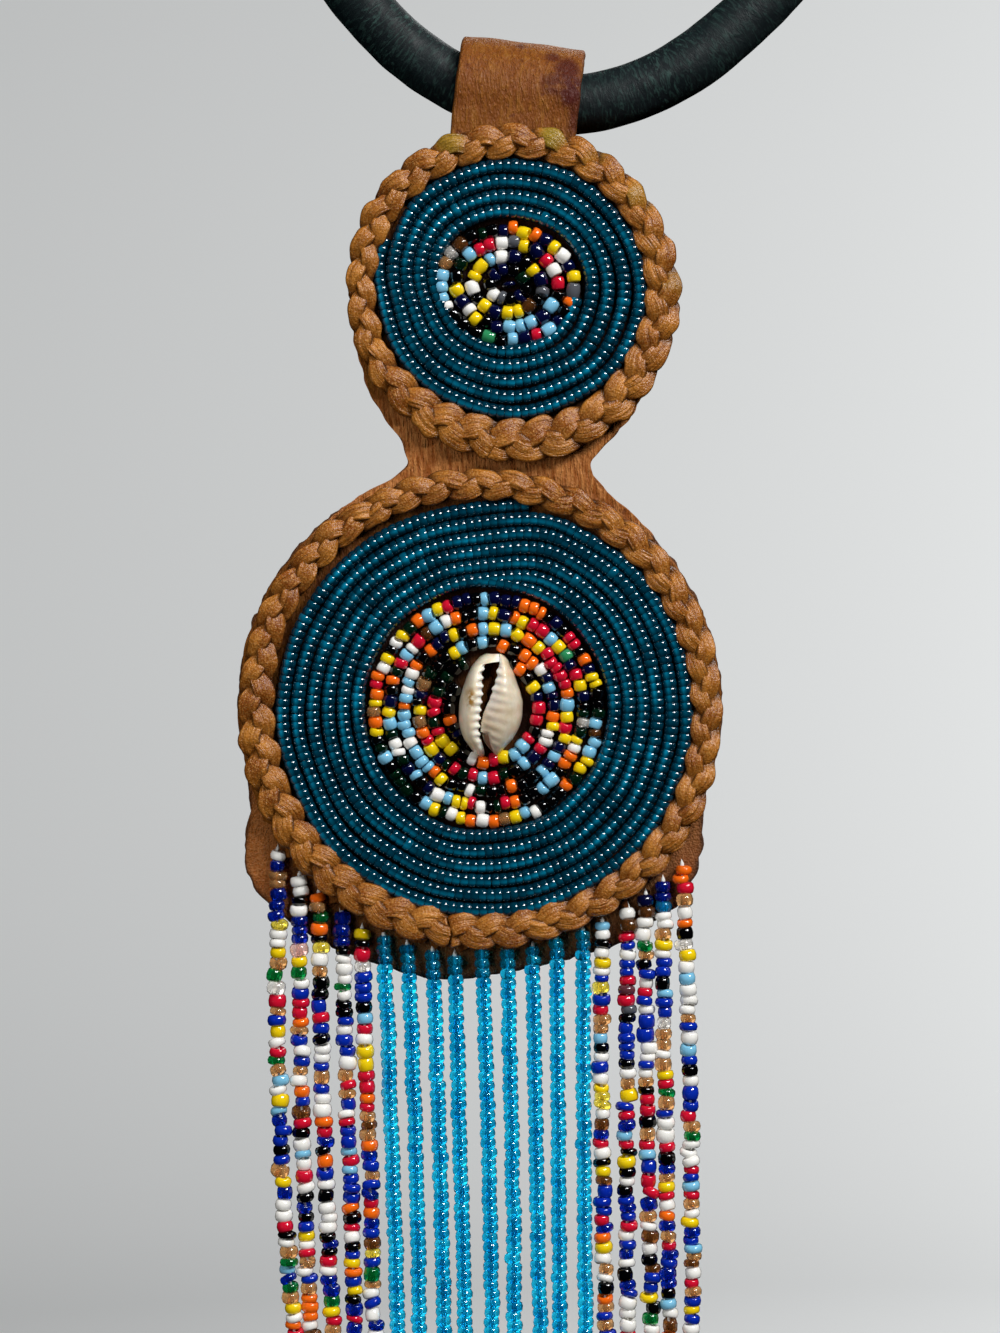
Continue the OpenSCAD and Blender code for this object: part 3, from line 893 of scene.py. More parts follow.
class NECKLACE_OT_clasp(Operator):
    """Makes the clasp: a turned barrel with rolled rims, open at both ends for the tube"""

    bl_idname = "necklace.clasp"
    bl_label = "Clasp"

    def execute(self, context):
        # Half of the barrel's profile: place along it and distance from its axis
        rim, body, bore, half, socket = 6.65, 6.35, 5.7, 12.9, 6.2
        bend = np.linspace(0, math.pi, 9)
        roll = stacked(half - 0.55 + 0.5 * np.sin(bend), rim - 0.5 + 0.5 * np.cos(bend))
        outward = [
            (0, body), (half - 1.9, body), (half - 1.5, body + 0.1), (half - 1.2, rim - 0.05)
        ]
        inward = [
            (half - 0.6, bore), (socket, bore), (socket - 0.1, bore - 0.3), (socket - 0.1, 0.1)
        ]
        side = np.concatenate([outward, roll, inward])
        profile = np.concatenate([side[::-1] * np.array([-1, 1]), side[1:]])
        sides = 64
        turn = full_turn(sides)[None, :]
        along, ring = profile[:, :1], profile[:, 1:]
        top = ring_path(64)[0][:, 1].max()
        points = stacked(along, ring * np.cos(turn), top + ring * np.sin(turn)).reshape(-1, 3)
        mesh_piece(
            "clasp_barrel", placed_on_ring(points), capped(len(profile), sides), "clasp_brass",
            ["clasp"], [aged_brass()], NECK,
        )
        return {"FINISHED"}


def sheet_points(x, z, level, near, thick, sag):
    """Points of a sheet. Its level is one in front and minus one behind, and its sag a ripple."""
    depth = near - thick / 2 + level * thick / 2 + sag[0] * ripple(*sag[1:], x, z)
    return stacked(x, depth, z).reshape(-1, 3)


def disc_sheet(at, reach, near, thick, sag):
    """A round sheet of leather with its own outline: front face, rounded edge and back face.

    Each spoke runs from the middle of the front out to the edge, round it, and back in behind.
    """
    columns = 360
    angle = np.linspace(0, 2 * math.pi, columns, endpoint=False)[None, :]
    share = np.concatenate([[0.02], np.linspace(0.1, 0.86, 12), np.linspace(0.9, 0.988, 8)])
    bend, rounding = np.linspace(math.pi / 2, -math.pi / 2, 7), 0.008
    rim = 1 - rounding + rounding * np.cos(bend)
    out = np.concatenate([share, rim, share[::-1]])[:, None]
    level = np.concatenate([np.ones(len(share)), np.sin(bend), -np.ones(len(share))])[:, None]
    edge = reach(angle)
    x = at[0] + edge * out * np.cos(angle)
    z = at[1] + edge * out * np.sin(angle)
    return sheet_points(x, z, level, near, thick, sag), capped(len(out), columns)


def span_sheet(table, near, thick, sag, seed):
    """An upright sheet between a left and a right edge read from a table by height.

    Each row is a flat loop: across the front, round one edge, back behind, round the other.
    """
    rows, columns = 200, 44
    table = np.array(table)
    height = np.linspace(table[:, 0].max(), table[:, 0].min(), rows)[:, None]
    left, right = (side[:, None] for side in through(table, height[:, 0]).T)
    uneven, rim_level = 0.15, 0.35
    left = left - uneven * ripple(seed, 5, height)
    right = right + uneven * ripple(seed + 1, 5, height)
    inner = 0.5 - 0.5 * np.cos(np.linspace(0.06, math.pi - 0.06, columns))
    across = np.concatenate([[0], inner, [1]])
    loop = np.concatenate([across, across[::-1]])[None, :]
    level = np.ones(columns + 2)
    level[[0, -1]] = rim_level
    level = np.concatenate([level, -level])[None, :]
    x = left + (right - left) * loop
    z = np.broadcast_to(height, x.shape)
    return sheet_points(x, z, level, near, thick, sag), capped(rows, loop.shape[1])


# Edges of the small disc and the waist: height, left and right
SMALL_SPAN = [
    (-5.2, -3.0, 2.6), (-5.8, -6.6, 6.2), (-7.8, -12.4, 12.0), (-11, -17.2, 16.8),
    (-16, -22.2, 21.8), (-22, -25.9, 25.6), (-28, -28.0, 27.8), (-34, -28.8, 28.6),
    (-40, -28.5, 28.2), (-46, -27.0, 26.4), (-50, -25.6, 24.6), (-54, -23.8, 22.7),
    (-58, -21.0, 19.9), (-61, -18.3, 17.4), (-64, -16.7, 16.2), (-66, -16.5, 17.4),
    (-68.5, -18.7, 20.2), (-72, -24.2, 25.0), (-76, -28.4, 29.0),
]

# Stains on the strap's front: x and height from the fold's axis, half sizes and strength
STRAP_STAINS = [
    (6.2, 5.2, 2.4, 2.3, 0.9), (4.4, 2.4, 2.6, 2.2, 0.75), (7.4, 1.5, 2.4, 3.2, 1.0),
    (8.5, -2.5, 1.2, 4.0, 0.75), (-2.4, 8.6, 0.9, 0.6, 0.7), (3.5, 7.2, 1.5, 0.9, 0.8),
]


class NECKLACE_OT_front_leather(Operator):
    """Makes the front leather: the two discs and the waist, and the strap folded over the ring"""

    bl_idname = "necklace.front_leather"
    bl_label = "Front leather"

    def execute(self, context):
        look = tan_leather(context.scene.necklace_colours)
        near, sag = FRONT_BACK + FRONT_T, (0.06, 21, 22)

        def reach(angle):
            """The large disc's rim by angle: a circle, wider and torn along its lower part."""
            lower = smooth_step(-0.2, -0.75, np.sin(angle))
            torn = 0.45 * ripple(22, 0.06, angle) + 0.25 * ripple(23, 0.02, angle)
            return 43.6 + 0.12 * ripple(24, 0.3, angle) + lower * (0.3 + torn)

        large = disc_sheet(LARGE_AT, reach, near, FRONT_T, sag)
        small = span_sheet(SMALL_SPAN, near - SINK, FRONT_T - 2 * SINK, sag, 31)
        flat, faces = joined([large, small])
        z, from_large, from_small = flat[:, 2], away(flat, LARGE_AT), away(flat, SMALL_AT)
        torn = smooth_step(41.5, 43.5, from_large) * smooth_step(-135, -150, z)
        # Under the bead fields the hide is darkened: painted shade between the beads, with the dark
        # of their threads and glue
        beaded = np.maximum(smooth_step(38, 36.5, from_large), smooth_step(24.5, 23, from_small))
        beaded = beaded - 0.85 * smooth_step(1.1, 0.9, away(flat, SHELL_AT, 5.0, 9))
        behind = smooth_step(near - 0.3, near - 1.2, flat[:, 1])
        waist = smooth_step(-52, -58, z) * smooth_step(-84, -74, z)
        tints = {
            "edge": np.maximum.reduce([0.35 * torn, beaded, 0.6 * behind]),
            "stain": 0 * torn,
            # Over the waist: raised ribs, and the hide painted lighter against the plaits' shadow
            "ribbed": 0.85 * waist * (from_large > 38),
        }
        mesh_piece(
            "front_hide", placed_on_pendant(flat), faces, "tan_leather", ["front_leather"], [look],
            tints=tints,
        )
        self.make_strap(context.scene.necklace_sizes, look)
        return {"FINISHED"}

    def make_strap(self, sizes, look):
        """The strap's middle line up the front, over the fold, down the slant and down the tail."""
        middle_x, fold_r, front_y, tail_y = -2.0, 8.4, -8.1, -4.2
        turn = np.radians(np.linspace(192, -31.6, 60))
        stretches = [
            stacked(front_y, np.linspace(-10.5, -2.6, 20)),
            fold_r * stacked(np.cos(turn), np.sin(turn) + 0.075 * np.sin(turn).clip(0)),
            stacked(np.linspace(6.2, -3.3, 24), np.linspace(-5.4, -20.9, 24)),
            stacked(tail_y, np.linspace(-23.5, -43.9, 30)),
        ]
        path = np.concatenate(stretches)
        run = run_along(path)
        at = np.linspace(0, run[-1], 220)
        path = on_path(path, run, at)
        # The mean of seven points rounds the corners, with both ends drawn on straight
        before = path[0] + (path[0] - path[1]) * np.arange(3, 0, -1)[:, None]
        after = path[-1] + (path[-1] - path[-2]) * np.arange(1, 4)[:, None]
        longer = np.concatenate([before, path, after])
        path = np.stack([np.convolve(v, np.ones(7) / 7, mode="valid") for v in longer.T], axis=1)
        heading = unit(np.gradient(path, axis=0))
        out = stacked(-heading[:, 1], heading[:, 0])
        half_w, half_t, round_r, faces_across = sizes.strap_w / 2, FRONT_T / 2, 0.5, 30
        bend = np.linspace(math.pi / 2, -math.pi / 2, 7)[1:-1]
        right = stacked(half_w - round_r + round_r * np.cos(bend), half_t * np.sin(bend))
        outer = stacked(np.linspace(-half_w + round_r, half_w - round_r, faces_across), half_t)
        loop = np.concatenate([outer, right, -outer, -right])
        across, lift = loop.T[:, None]
        run, edge = at[:, None], np.abs(across) / half_w
        across = across * (1 + 0.006 * ripple(41, 9, run + 60 * np.sign(across)))
        curl = 0.10 * ripple(42, 14, run, across) - 0.12 * smooth_step(0.95, 1.0, edge) * (lift > 0)
        lift = lift + curl * smooth_step(0, 12, run)
        y, z = (path[:, k, None] + out[:, k, None] * lift for k in (0, 1))
        points = stacked(middle_x + across, y, z).reshape(-1, 3)
        stain = np.zeros(len(points))
        for at_x, at_z, wide, high, share in STRAP_STAINS:
            spot = smooth_step(1.3, 0.6, away(points, (at_x, at_z), wide, high))
            stain = np.maximum(stain, share * spot)
        stain *= points[:, 1] < 0
        rim = 0.35 * smooth_step(0.95, 1.0, np.abs(points[:, 0] - middle_x) / half_w)
        mesh_piece(
            "strap", placed_on_fold(points), capped(len(path), len(loop)), "tan_leather",
            ["front_leather"], [look], tints={"stain": stain, "edge": rim, "ribbed": 0 * rim},
        )


# Reach of the apron from the large disc's middle, by angle
APRON = [
    (-170, 43.9), (-160, 44.0), (-152, 45.7), (-145, 49.7), (-140, 52.2), (-134, 52.8),
    (-126, 52.2), (-118, 51.7), (-107, 50.7), (-94, 50.4), (-81, 49.0), (-70, 48.7), (-62, 49.2),
    (-55, 50.3), (-47, 50.2), (-40, 51.0), (-36, 50.3), (-28, 48.0), (-22, 45.3), (-16, 43.9),
    (-6, 43.9),
]


class NECKLACE_OT_back_leather(Operator):
    """Makes the back leather: the sheet behind, with the apron that the strings hang against"""

    bl_idname = "necklace.back_leather"
    bl_label = "Back leather"

    def execute(self, context):
        sag = (0.05, 51, 18)

        def reach(angle):
            """The apron's rim by angle, from its table, slightly uneven."""
            degrees = (np.degrees(angle) + 180) % 360 - 180
            edge = through(APRON, degrees.clip(-170, -6))[..., 0]
            return edge + 0.1 * ripple(52, 0.12, angle) + 0.06 * ripple(53, 0.03, angle)

        back_span = [(h, left - 0.3, right + 0.1) for h, left, right in SMALL_SPAN[2:]]
        large = disc_sheet(LARGE_AT, reach, BACK_FACE, BACK_T, sag)
        small = span_sheet(back_span, BACK_FACE - SINK, BACK_T - 2 * SINK, sag, 61)
        points, faces = joined([large, small])
        x, depth, z = points.T
        corner = smooth_step(-29, -38, x + 0.3 * (z + 140)) * smooth_step(-118, -128, z)
        upper = 0.75 * smooth_step(-130, -120, z)
        right = 0.45 * smooth_step(34, 40, x + 0.1 * (z + 140)) * smooth_step(-112, -122, z)
        # Behind, the whole hide is half worn
        behind = 0.5 * (depth < BACK_FACE - 0.6 * BACK_T)
        radius = away(points, LARGE_AT)
        angle = np.arctan2(z - LARGE_AT[1], x - LARGE_AT[0])
        tints = {
            "smooth": np.maximum.reduce([corner, upper, right, behind]),
            "edge": 0.8 * smooth_step(-1.0, -0.2, radius - reach(angle)) * (z < -75),
            # Paler suede just below the plait, partly painted light against its shadow
            "suede": smooth_step(47.5, 44.5, radius),
        }
        mesh_piece(
            "back_hide", placed_on_pendant(points), faces, "dark_leather", ["back_leather"],
            [back_leather(context.scene.necklace_colours)], tints=tints,
        )
        return {"FINISHED"}


# Plaits by angle round their disc: radius of the middle line and half width
SMALL_PLAIT = [
    (4, 26.7, 3.1), (34, 26.4, 2.8), (64, 26.4, 2.8), (94, 26.4, 2.8), (124, 26.6, 2.9),
    (154, 27.0, 2.65), (184, 26.8, 2.45), (214, 26.6, 2.6), (230, 26.2, 3.1), (246, 26.1, 3.4),
    (274, 26.3, 3.6), (290, 26.6, 3.65), (304, 26.6, 3.4), (334, 26.6, 3.2),
]
LARGE_PLAIT = [
    (4, 40.8, 2.7), (64, 40.7, 2.65), (94, 40.6, 2.65), (154, 40.4, 2.75), (184, 40.1, 3.05),
    (205, 40.0, 3.2), (266, 40.0, 3.2), (288, 40.15, 3.05), (304, 40.5, 2.8), (335, 41.0, 2.8),
]


def strand_piece(name, node, at, plan, turns, phase, olive_at, sizes, look):
    """One strand of a plait laid in a ring.

    Its distance from the ring's middle swings as the sine of its own turn, and its height as
    the sine of twice that, so that it passes over one neighbour and under the other. Its
    section is a squared oval, full where it lies on top and narrow where it dives.
    """
    butt, trim, rings_a_turn, sides = -93.0, 0.35, 44, 28
    # Swing aside and rise of a strand, and its lean outward, for a plait of the usual half width
    swing, rise, lean, usual = 1.62, 0.78, 0.30, 3.0
    floor = BEAD_FLOOR - 0.1
    steps = round(turns * rings_a_turn)
    a = np.linspace(math.radians(butt + trim), math.radians(butt + 360 - trim), steps)
    t = turns * a + math.radians(phase)
    seed = sum(map(ord, name))
    round_plan = [(row[0] + lap, *row[1:]) for lap in (-360, 0, 360) for row in plan]
    radius, half = through(round_plan, np.degrees(a)).T
    scale = half / usual
    reach = radius + swing * scale * np.sin(t) + 0.10 * ripple(seed, 0.25, a)
    depth = floor + sizes.strand_t * 0.5 + rise + rise * np.sin(2 * t)
    path = stacked(at[0] + reach * np.cos(a), depth, at[1] + reach * np.sin(a))
    heading = unit(np.gradient(path, axis=0))
    across = unit(np.cross(heading, np.array([0, 1, 0])))
    lift = np.cross(across, heading)
    # The strand leans outward as it comes over the top, like a leaf laid on its neighbour
    bank = lean * np.cos(t)[:, None]
    c, s = np.cos(bank), np.sin(bank)
    across, lift = across * c + lift * s, lift * c - across * s
    around = full_turn(sides)[None, :]
    c, s = np.cos(around), np.sin(around)
    full = (0.84 + 0.19 * np.sin(2 * t) + 0.05 * ripple(seed + 1, 0.12, a))[:, None]
    wide = sizes.strand_w / 2 * scale[:, None] * full * signed_power(c, 0.85)
    thick = sizes.strand_t / 2 * (0.96 + 0.1 * full) * signed_power(s, 0.62)
    run = run_along(path)[:, None]
    folds = 0.06 * ripple(seed + 2, 0.9, 0.14 * run, wide) + 0.03 * ripple(seed + 3, 1.6, run, wide)
    thick = thick + folds * (s > 0.1)
    points = path[:, None, :] + wide[..., None] * across[:, None, :]
    points += thick[..., None] * lift[:, None, :]
    # Painted shade, with some dye, darkens where the strand dives, at its sides, beneath it and in
    # whatever lies deep
    dive = smooth_step(0.45, 0.95, 0.5 - 0.5 * np.sin(2 * t)[:, None])
    side = 0.95 * smooth_step(0.84, 0.96, np.abs(c))
    beneath = smooth_step(0.2, -0.4, s)
    deep = 0.9 * smooth_step(floor + 2.35, floor + 1.2, points[..., 1])
    low = np.maximum.reduce(np.broadcast_arrays(dive, side, beneath, deep)) * 0.9
    olive = np.zeros(steps)
    for middle, width, share in olive_at:
        gap = np.abs((np.degrees(a) - middle + 180) % 360 - 180)
        olive = np.maximum(olive, share * smooth_step(width, width * 0.4, gap))
    olive = (olive * smooth_step(-0.2, 0.9, np.sin(t)))[:, None] * (s > -0.2)
    mesh_piece(
        name, placed_on_pendant(points.reshape(-1, 3)), capped(steps, sides), "braid_leather",
        [node], [look], uv=stacked(wide / 100, run / 100).reshape(-1, 2),
        tints={"low": low.ravel(), "olive": olive.ravel()},
    )


# Olive patches on the small plait: angle round the disc, width and strength
OLIVE_PATCHES = [(117, 6, 0.6), (79, 6, 0.75), (40, 7, 0.4), (8, 5, 0.25), (62, 5, 0.3)]


class NECKLACE_OT_plaits(Operator):
    """Makes the two plaits, three strands each"""

    bl_idname = "necklace.plaits"
    bl_label = "Plaits"

    def execute(self, context):
        sizes = context.scene.necklace_sizes
        look = braid_leather(context.scene.necklace_colours)
        rings = (
            ("small_braid", SMALL_AT, SMALL_PLAIT, 9.7, OLIVE_PATCHES),
            ("large_braid", LARGE_AT, LARGE_PLAIT, 14.7, []),
        )
        for name, at, plan, turns, olive in rings:
            for k, letter in enumerate("abc"):
                node = f"{name}_{letter}"
                strand_piece(f"{node}_strip", node, at, plan, turns, 120 * k, olive, sizes, look)
        return {"FINISHED"}


class NECKLACE_OT_bead_rows(Operator):
    """Makes the beads sewn on the discs: teal rows, and mixed middles inside them"""

    bl_idname = "necklace.bead_rows"
    bl_label = "Bead rows"

    def execute(self, context):
        sizes, seed = context.scene.necklace_sizes, context.scene.necklace_sizes.seed
        # The paler teal brightens a few beads and is the painted line of light along the rows
        teal = clear_glass("teal_glass", context.scene.necklace_colours.teal, "#0882a6", 0.0, 0.1)
        r = sizes.bead_d / 2
        # Start, turns, step, half sizes, pitch, and the outer and the inner middle of each coil
        coils = (
            (205, 4.42, 0.2, (24.1 - r, 22.9 - r), 2.66, (-0.2, -33.5), (-1.0, -33.4)),
            (104, 6.0, 0.1, (37.5 - r, 37.5 - r), 2.64, (0.8, -108.9), (1.0, -108.4)),
        )
        threads = []
        for k, (size, coil) in enumerate(zip(("small", "large"), coils)):
            teal_rows(f"{size}_teal_beads", f"{size}_rows", coil, sizes, seed + k, teal)
            # White thread in the bores, which shows only where two beads part
            path = coil_path(*coil, seed + k)[::4]
            path += np.array([-0.25, BEAD_FLOOR + r, -0.2])
            threads.append(tube_along(placed_on_pendant(path), np.full(len(path), 0.2), 5))
        glasses = mixed_glasses()
        mixed_middle(
            "small_mixed_beads", "small_centre", SMALL_MIDDLE_ROWS, 4.6, SMALL_MIDDLE_AT,
            (13.2, 10.9), sizes, seed + 2, glasses,
        )
        mixed_middle(
            "large_mixed_beads", "large_centre", LARGE_MIDDLE_ROWS, 8, LARGE_MIDDLE_AT,
            (21.4, 21.4), sizes, seed + 3, glasses, keep=clear_of_shell,
        )
        mesh_piece("row_threads", *joined(threads), "teal_glass", [], [white_thread()])
        return {"FINISHED"}


SHELL_AT = (1.7, -107.65)
SHELL_TURN = math.radians(-4.5)
SHELL_H = 6.9
# The cowrie by height: left side, right side, left lip and right lip
SHELL_ROWS = [
    (9.25, -0.8, 2.0, 1.6, 1.65), (9.0, -1.3, 2.4, 1.6, 1.65), (8.7, -1.8, 2.8, 1.6, 1.65),
    (8.2, -2.3, 3.15, 1.6, 1.65), (7.95, -2.55, 3.28, 1.5, 1.65), (7.8, -2.68, 3.36, 0.5, 1.65),
    (7.65, -2.8, 3.42, -0.4, 1.65), (7.3, -3.1, 3.6, -0.95, 1.6), (6.9, -3.4, 3.8, -1.15, 1.5),
    (6.1, -3.8, 4.2, -1.4, 1.35), (5.2, -4.2, 4.5, -1.4, 1.3), (4.3, -4.5, 4.75, -1.4, 0.95),
    (3.4, -4.85, 5.05, -1.4, 0.6), (2.55, -5.15, 5.35, -1.42, 0.4), (1.6, -5.4, 5.6, -1.5, 0.05),
    (0.8, -5.55, 5.8, -1.6, -0.35), (-0.1, -5.65, 5.85, -1.7, -0.75),
    (-1.0, -5.7, 5.8, -1.8, -1.1), (-1.9, -5.73, 5.75, -1.85, -1.35),
    (-2.8, -5.7, 5.6, -1.92, -1.55), (-4.5, -5.4, 5.0, -1.95, -1.6), (-5.4, -5.1, 4.5, -1.8, -1.4),
    (-6.3, -4.7, 3.95, -1.52, -1.1), (-7.1, -4.1, 3.25, -1.3, -0.6), (-8.0, -3.45, 2.4, -1.1, 0.1),
    (-8.85, -2.6, 1.5, -1.05, 0.8), (-9.3, -1.9, 1.2, -1.15, 1.0),
]


def clear_of_shell(spots):
    """Whether a bead lies outside the cowrie's foot."""
    c, s = math.cos(SHELL_TURN), math.sin(SHELL_TURN)
    dx, dz = spots[:, 0] - SHELL_AT[0], spots[:, 2] - SHELL_AT[1]
    x, z = dx * c - dz * s, dx * s + dz * c
    return (x / 6.2) ** 2 + ((z - 0.1) / 9.5) ** 2 > 1


class NECKLACE_OT_cowrie(Operator):
    """Makes the cowrie: two lips round a toothed slit, its back cut away"""

    bl_idname = "necklace.cowrie"
    bl_label = "Cowrie"

    def execute(self, context):
        left, right = self.half(True), self.half(False)
        points, faces = joined([left[:2], right[:2]])
        tints = {key: np.concatenate([left[2][key], right[2][key]]) for key in left[2]}
        mesh_piece(
            "cowrie_shell", placed_on_pendant(points), faces, "shell", ["cowrie"],
            [shell_polish(context.scene.necklace_colours)], tints=tints,
        )
        return {"FINISHED"}

    def half(self, left):
        """One lip: a crescent section from the foot over the crown to the slit and back inside.

        Across it the outer skin goes as a cosine from the side to the lip, and up as a sine;
        the inner skin is the same, smaller. Teeth and ribs swell the lip's edge as sines.
        """
        rows, columns, wall, last = 150, 34, 1.0, math.radians(128)
        tooth_pitch, rib_pitch = 1.44, 1.5
        share = np.sin(np.linspace(-math.pi / 2, math.pi / 2, rows))[:, None]
        low, high = -9.3 if left else -8.85, 9.25
        height = low + (high - low) * (0.5 + 0.5 * share)
        column = 0 if left else 1
        side, lip = through(SHELL_ROWS, height[:, 0])[:, [column, column + 2]].T[..., None]
        crown = SHELL_H * np.maximum(1 - np.abs(height / 9.6) ** 2.4, 0.02) ** 0.45
        turn = np.linspace(0, last, columns)[None, :]
        over = turn / last
        near_lip = smooth_step(0.7, 0.95, over)
        ends = smooth_step(9.0, 6.6, -height) * smooth_step(7.6, 7.0, height)
        if left:
            teeth = 0.5 + 0.5 * np.cos(2 * math.pi * (height - 3.8) / tooth_pitch)
            swell = (0.46 * teeth - 0.2) * near_lip * ends * smooth_step(-7, -5, height)
            ridge = 0.14 * teeth * smooth_step(0.5, 0.95, over) * ends
        else:
            slope = (1.5 + 2.0 * smooth_step(1, -6, height)) * (over - 1)
            ribs = 0.5 + 0.5 * np.cos(2 * math.pi * (height - 6.4 - slope) / rib_pitch)
            swell = -(0.06 + 0.24 * smooth_step(1.0, 3.5, height)) * ribs * near_lip * ends
            body = smooth_step(0.3, 0.8, over)
            ridge = 0.13 * ribs * body * ends * smooth_step(0.25, 0.5, over)
        across = (1 - np.cos(turn)) / (1 - math.cos(last))
        x = side + (lip - side) * across + swell
        depth = crown * np.sin(turn) ** 0.9 + ridge
        if not left:
            # Below the slit the lip folds down into a channel
            down = np.maximum(-5.3 - height, -1)
            fold = -0.2 + 0.11 * down + 0.05 * down**2
            sunk = smooth_step(0.25, -0.25, x - fold) * smooth_step(-4.2, -5.6, height)
            depth = depth * (1 - 0.4 * sunk)
        foot = 0.92 + 0.08 * across
        x_in = side * foot + (lip - side * foot) * across
        depth_in = np.maximum(crown - wall, 0.1) * np.sin(turn) ** 0.9 - 0.25
        x_in = x_in + (0.35 if left else -0.35) * (1 - across)
        loop_x = np.concatenate([x, x_in[:, ::-1]], axis=1)
        loop_depth = np.concatenate([depth, depth_in[:, ::-1]], axis=1)
        c, s = math.cos(SHELL_TURN), math.sin(SHELL_TURN)
        points = stacked(
            SHELL_AT[0] + loop_x * c + height * s,
            BEAD_FLOOR - 0.1 + loop_depth,
            SHELL_AT[1] - loop_x * s + height * c,
        ).reshape(-1, 3)
        faces = capped(rows, 2 * columns)
        if left:
            faces = [face[::-1] for face in faces]
        lip_tint, inside = np.zeros((2, rows, 2 * columns))
        # On the right lip the pale fades out lower down, as painted shade
        lip_tint[:, :columns] = near_lip * (1 if left else smooth_step(-2, 2, height))
        if not left:
            # The right lip is pinker, and browner where it rolls down towards the slit, partly as
            # painted shade
            rolled = 0.28 * smooth_step(0.35, 0.85, over) * smooth_step(5.5, 0.5, height)
            inside[:, :columns] = 0.06 + rolled
        inside[:, columns + 2 :] = 1
        spot = np.hypot((loop_x + 3.4) / 1.0, (height - 1.7) / 2.2)
        stain = smooth_step(1.3, 0.3, spot) * (1 if left else 0)
        tints = {"lip": lip_tint.ravel(), "stain": stain.ravel(), "inside": inside.ravel()}
        return points, faces, tints


class NECKLACE_OT_fringe(Operator):
    """Makes the nineteen strings of beads, and the white thread through them"""

    bl_idname = "necklace.fringe"
    bl_label = "Fringe"

    def execute(self, context):
        sizes, colours = context.scene.necklace_sizes, context.scene.necklace_colours
        glasses = mixed_glasses()
        sky = clear_glass("turquoise_glass", colours.turquoise, "#0c9ccc", 0.88, 0.04)
        groups = (
            ("left", LEFT_FRINGE, glasses),
            ("blue", BLUE_FRINGE, [sky]),
            ("right", RIGHT_FRINGE, glasses),
        )
        threads = []
        for k, (side, fringe, looks) in enumerate(groups):
            nodes = [f"string_{side}_{place + 1}" for place in range(len(fringe))]
            seed, blue = sizes.seed + 11 + k, side == "blue"
            fringe_strings(f"fringe_{side}", nodes, fringe, sizes, seed, blue, looks)
            threads += [self.thread(row, sizes) for row in fringe]
        mesh_piece("fringe_threads", *joined(threads), "mixed_glass", [], [white_thread()])
        return {"FINISHED"}

    def thread(self, row, sizes):
        """A string's thread: it widens from its stitch to the first bead, and ends in a knot."""
        end = sizes.fringe_end - row[1]
        below = np.concatenate([np.linspace(-1.2, 0.6, 7), np.linspace(2, end + 1.2, 40)])
        path = string_path(row, sizes.fringe_end, below)
        path[:, 1] -= 0.5 * smooth_step(-0.2, -1.2, below)
        knot = np.exp(-(((below - end - 0.6) / 0.5) ** 2))
        # It comes out double at its top
        top = smooth_step(-1.3, -0.2, below) * (1 + 0.7 * smooth_step(0.6, -0.2, below))
        radius = sizes.thread_d / 2 * (0.1 + top) * (1 + 1.5 * knot)
        return tube_along(placed_hanging(path), radius, 6)


class NECKLACE_OT_fibres(Operator):
    """Makes the loose fibres along the front leather's torn lower edge"""

    bl_idname = "necklace.fibres"
    bl_label = "Fibres"

    def execute(self, context):
        rng = np.random.default_rng(context.scene.necklace_sizes.seed + 21)
        count, rings, sides, edge_r = 1100, 5, 3, 42.9
        angle = np.radians(rng.uniform(-146, -34, count))
        root = edge_r + rng.uniform(-0.6, 0.8, count)
        long = rng.gamma(3.0, 0.6, count).clip(0.5, 4.4)[:, None]
        lean = rng.normal(0, 0.45, count)
        curl = rng.normal(0, 0.5, count)
        share = np.linspace(0, 1, rings)[None, :]
        way = np.arctan2(np.sin(angle) - 0.8, np.cos(angle) * 0.6) + lean
        bent = way[:, None] + curl[:, None] * share
        x, z = oval(LARGE_AT, (root, root), angle).T[..., None]
        # Roots lie in the front leather's cut edge, tips fall back towards the sheet behind
        depth = rng.uniform(FRONT_BACK + 0.2, FRONT_BACK + FRONT_T - 0.1, count)
        depth = depth[:, None] - share**2 * rng.uniform(0, 0.8, count)[:, None]
        path = stacked(x + long * share * np.cos(bent), depth, z + long * share * np.sin(bent))
        thin = rng.uniform(0.04, 0.09, count)[:, None] * (1 - 0.8 * share)
        side = np.array([[math.cos(0.3), 0, math.sin(0.3)]])
        ring = circles(side, np.array([[0, 1, 0]]), sides)
        points = path[:, :, None, :] + thin[:, :, None, None] * ring
        each = rings * sides
        faces = copies(grid_faces(rings, sides, wrap_columns=True), count, each).tolist()
        caps = [[k * each + v for v in (0, 2, 1)] for k in range(count)]
        tips = [[(k + 1) * each - 3 + v for v in (0, 1, 2)] for k in range(count)]
        tints = {"shade": np.repeat(rng.uniform(0, 1, count), each)}
        mesh_piece(
            "edge_fibres", placed_on_pendant(points.reshape(-1, 3)), faces + caps + tips,
            "tan_leather", [], [leather_hair()], tints=tints,
        )
        return {"FINISHED"}


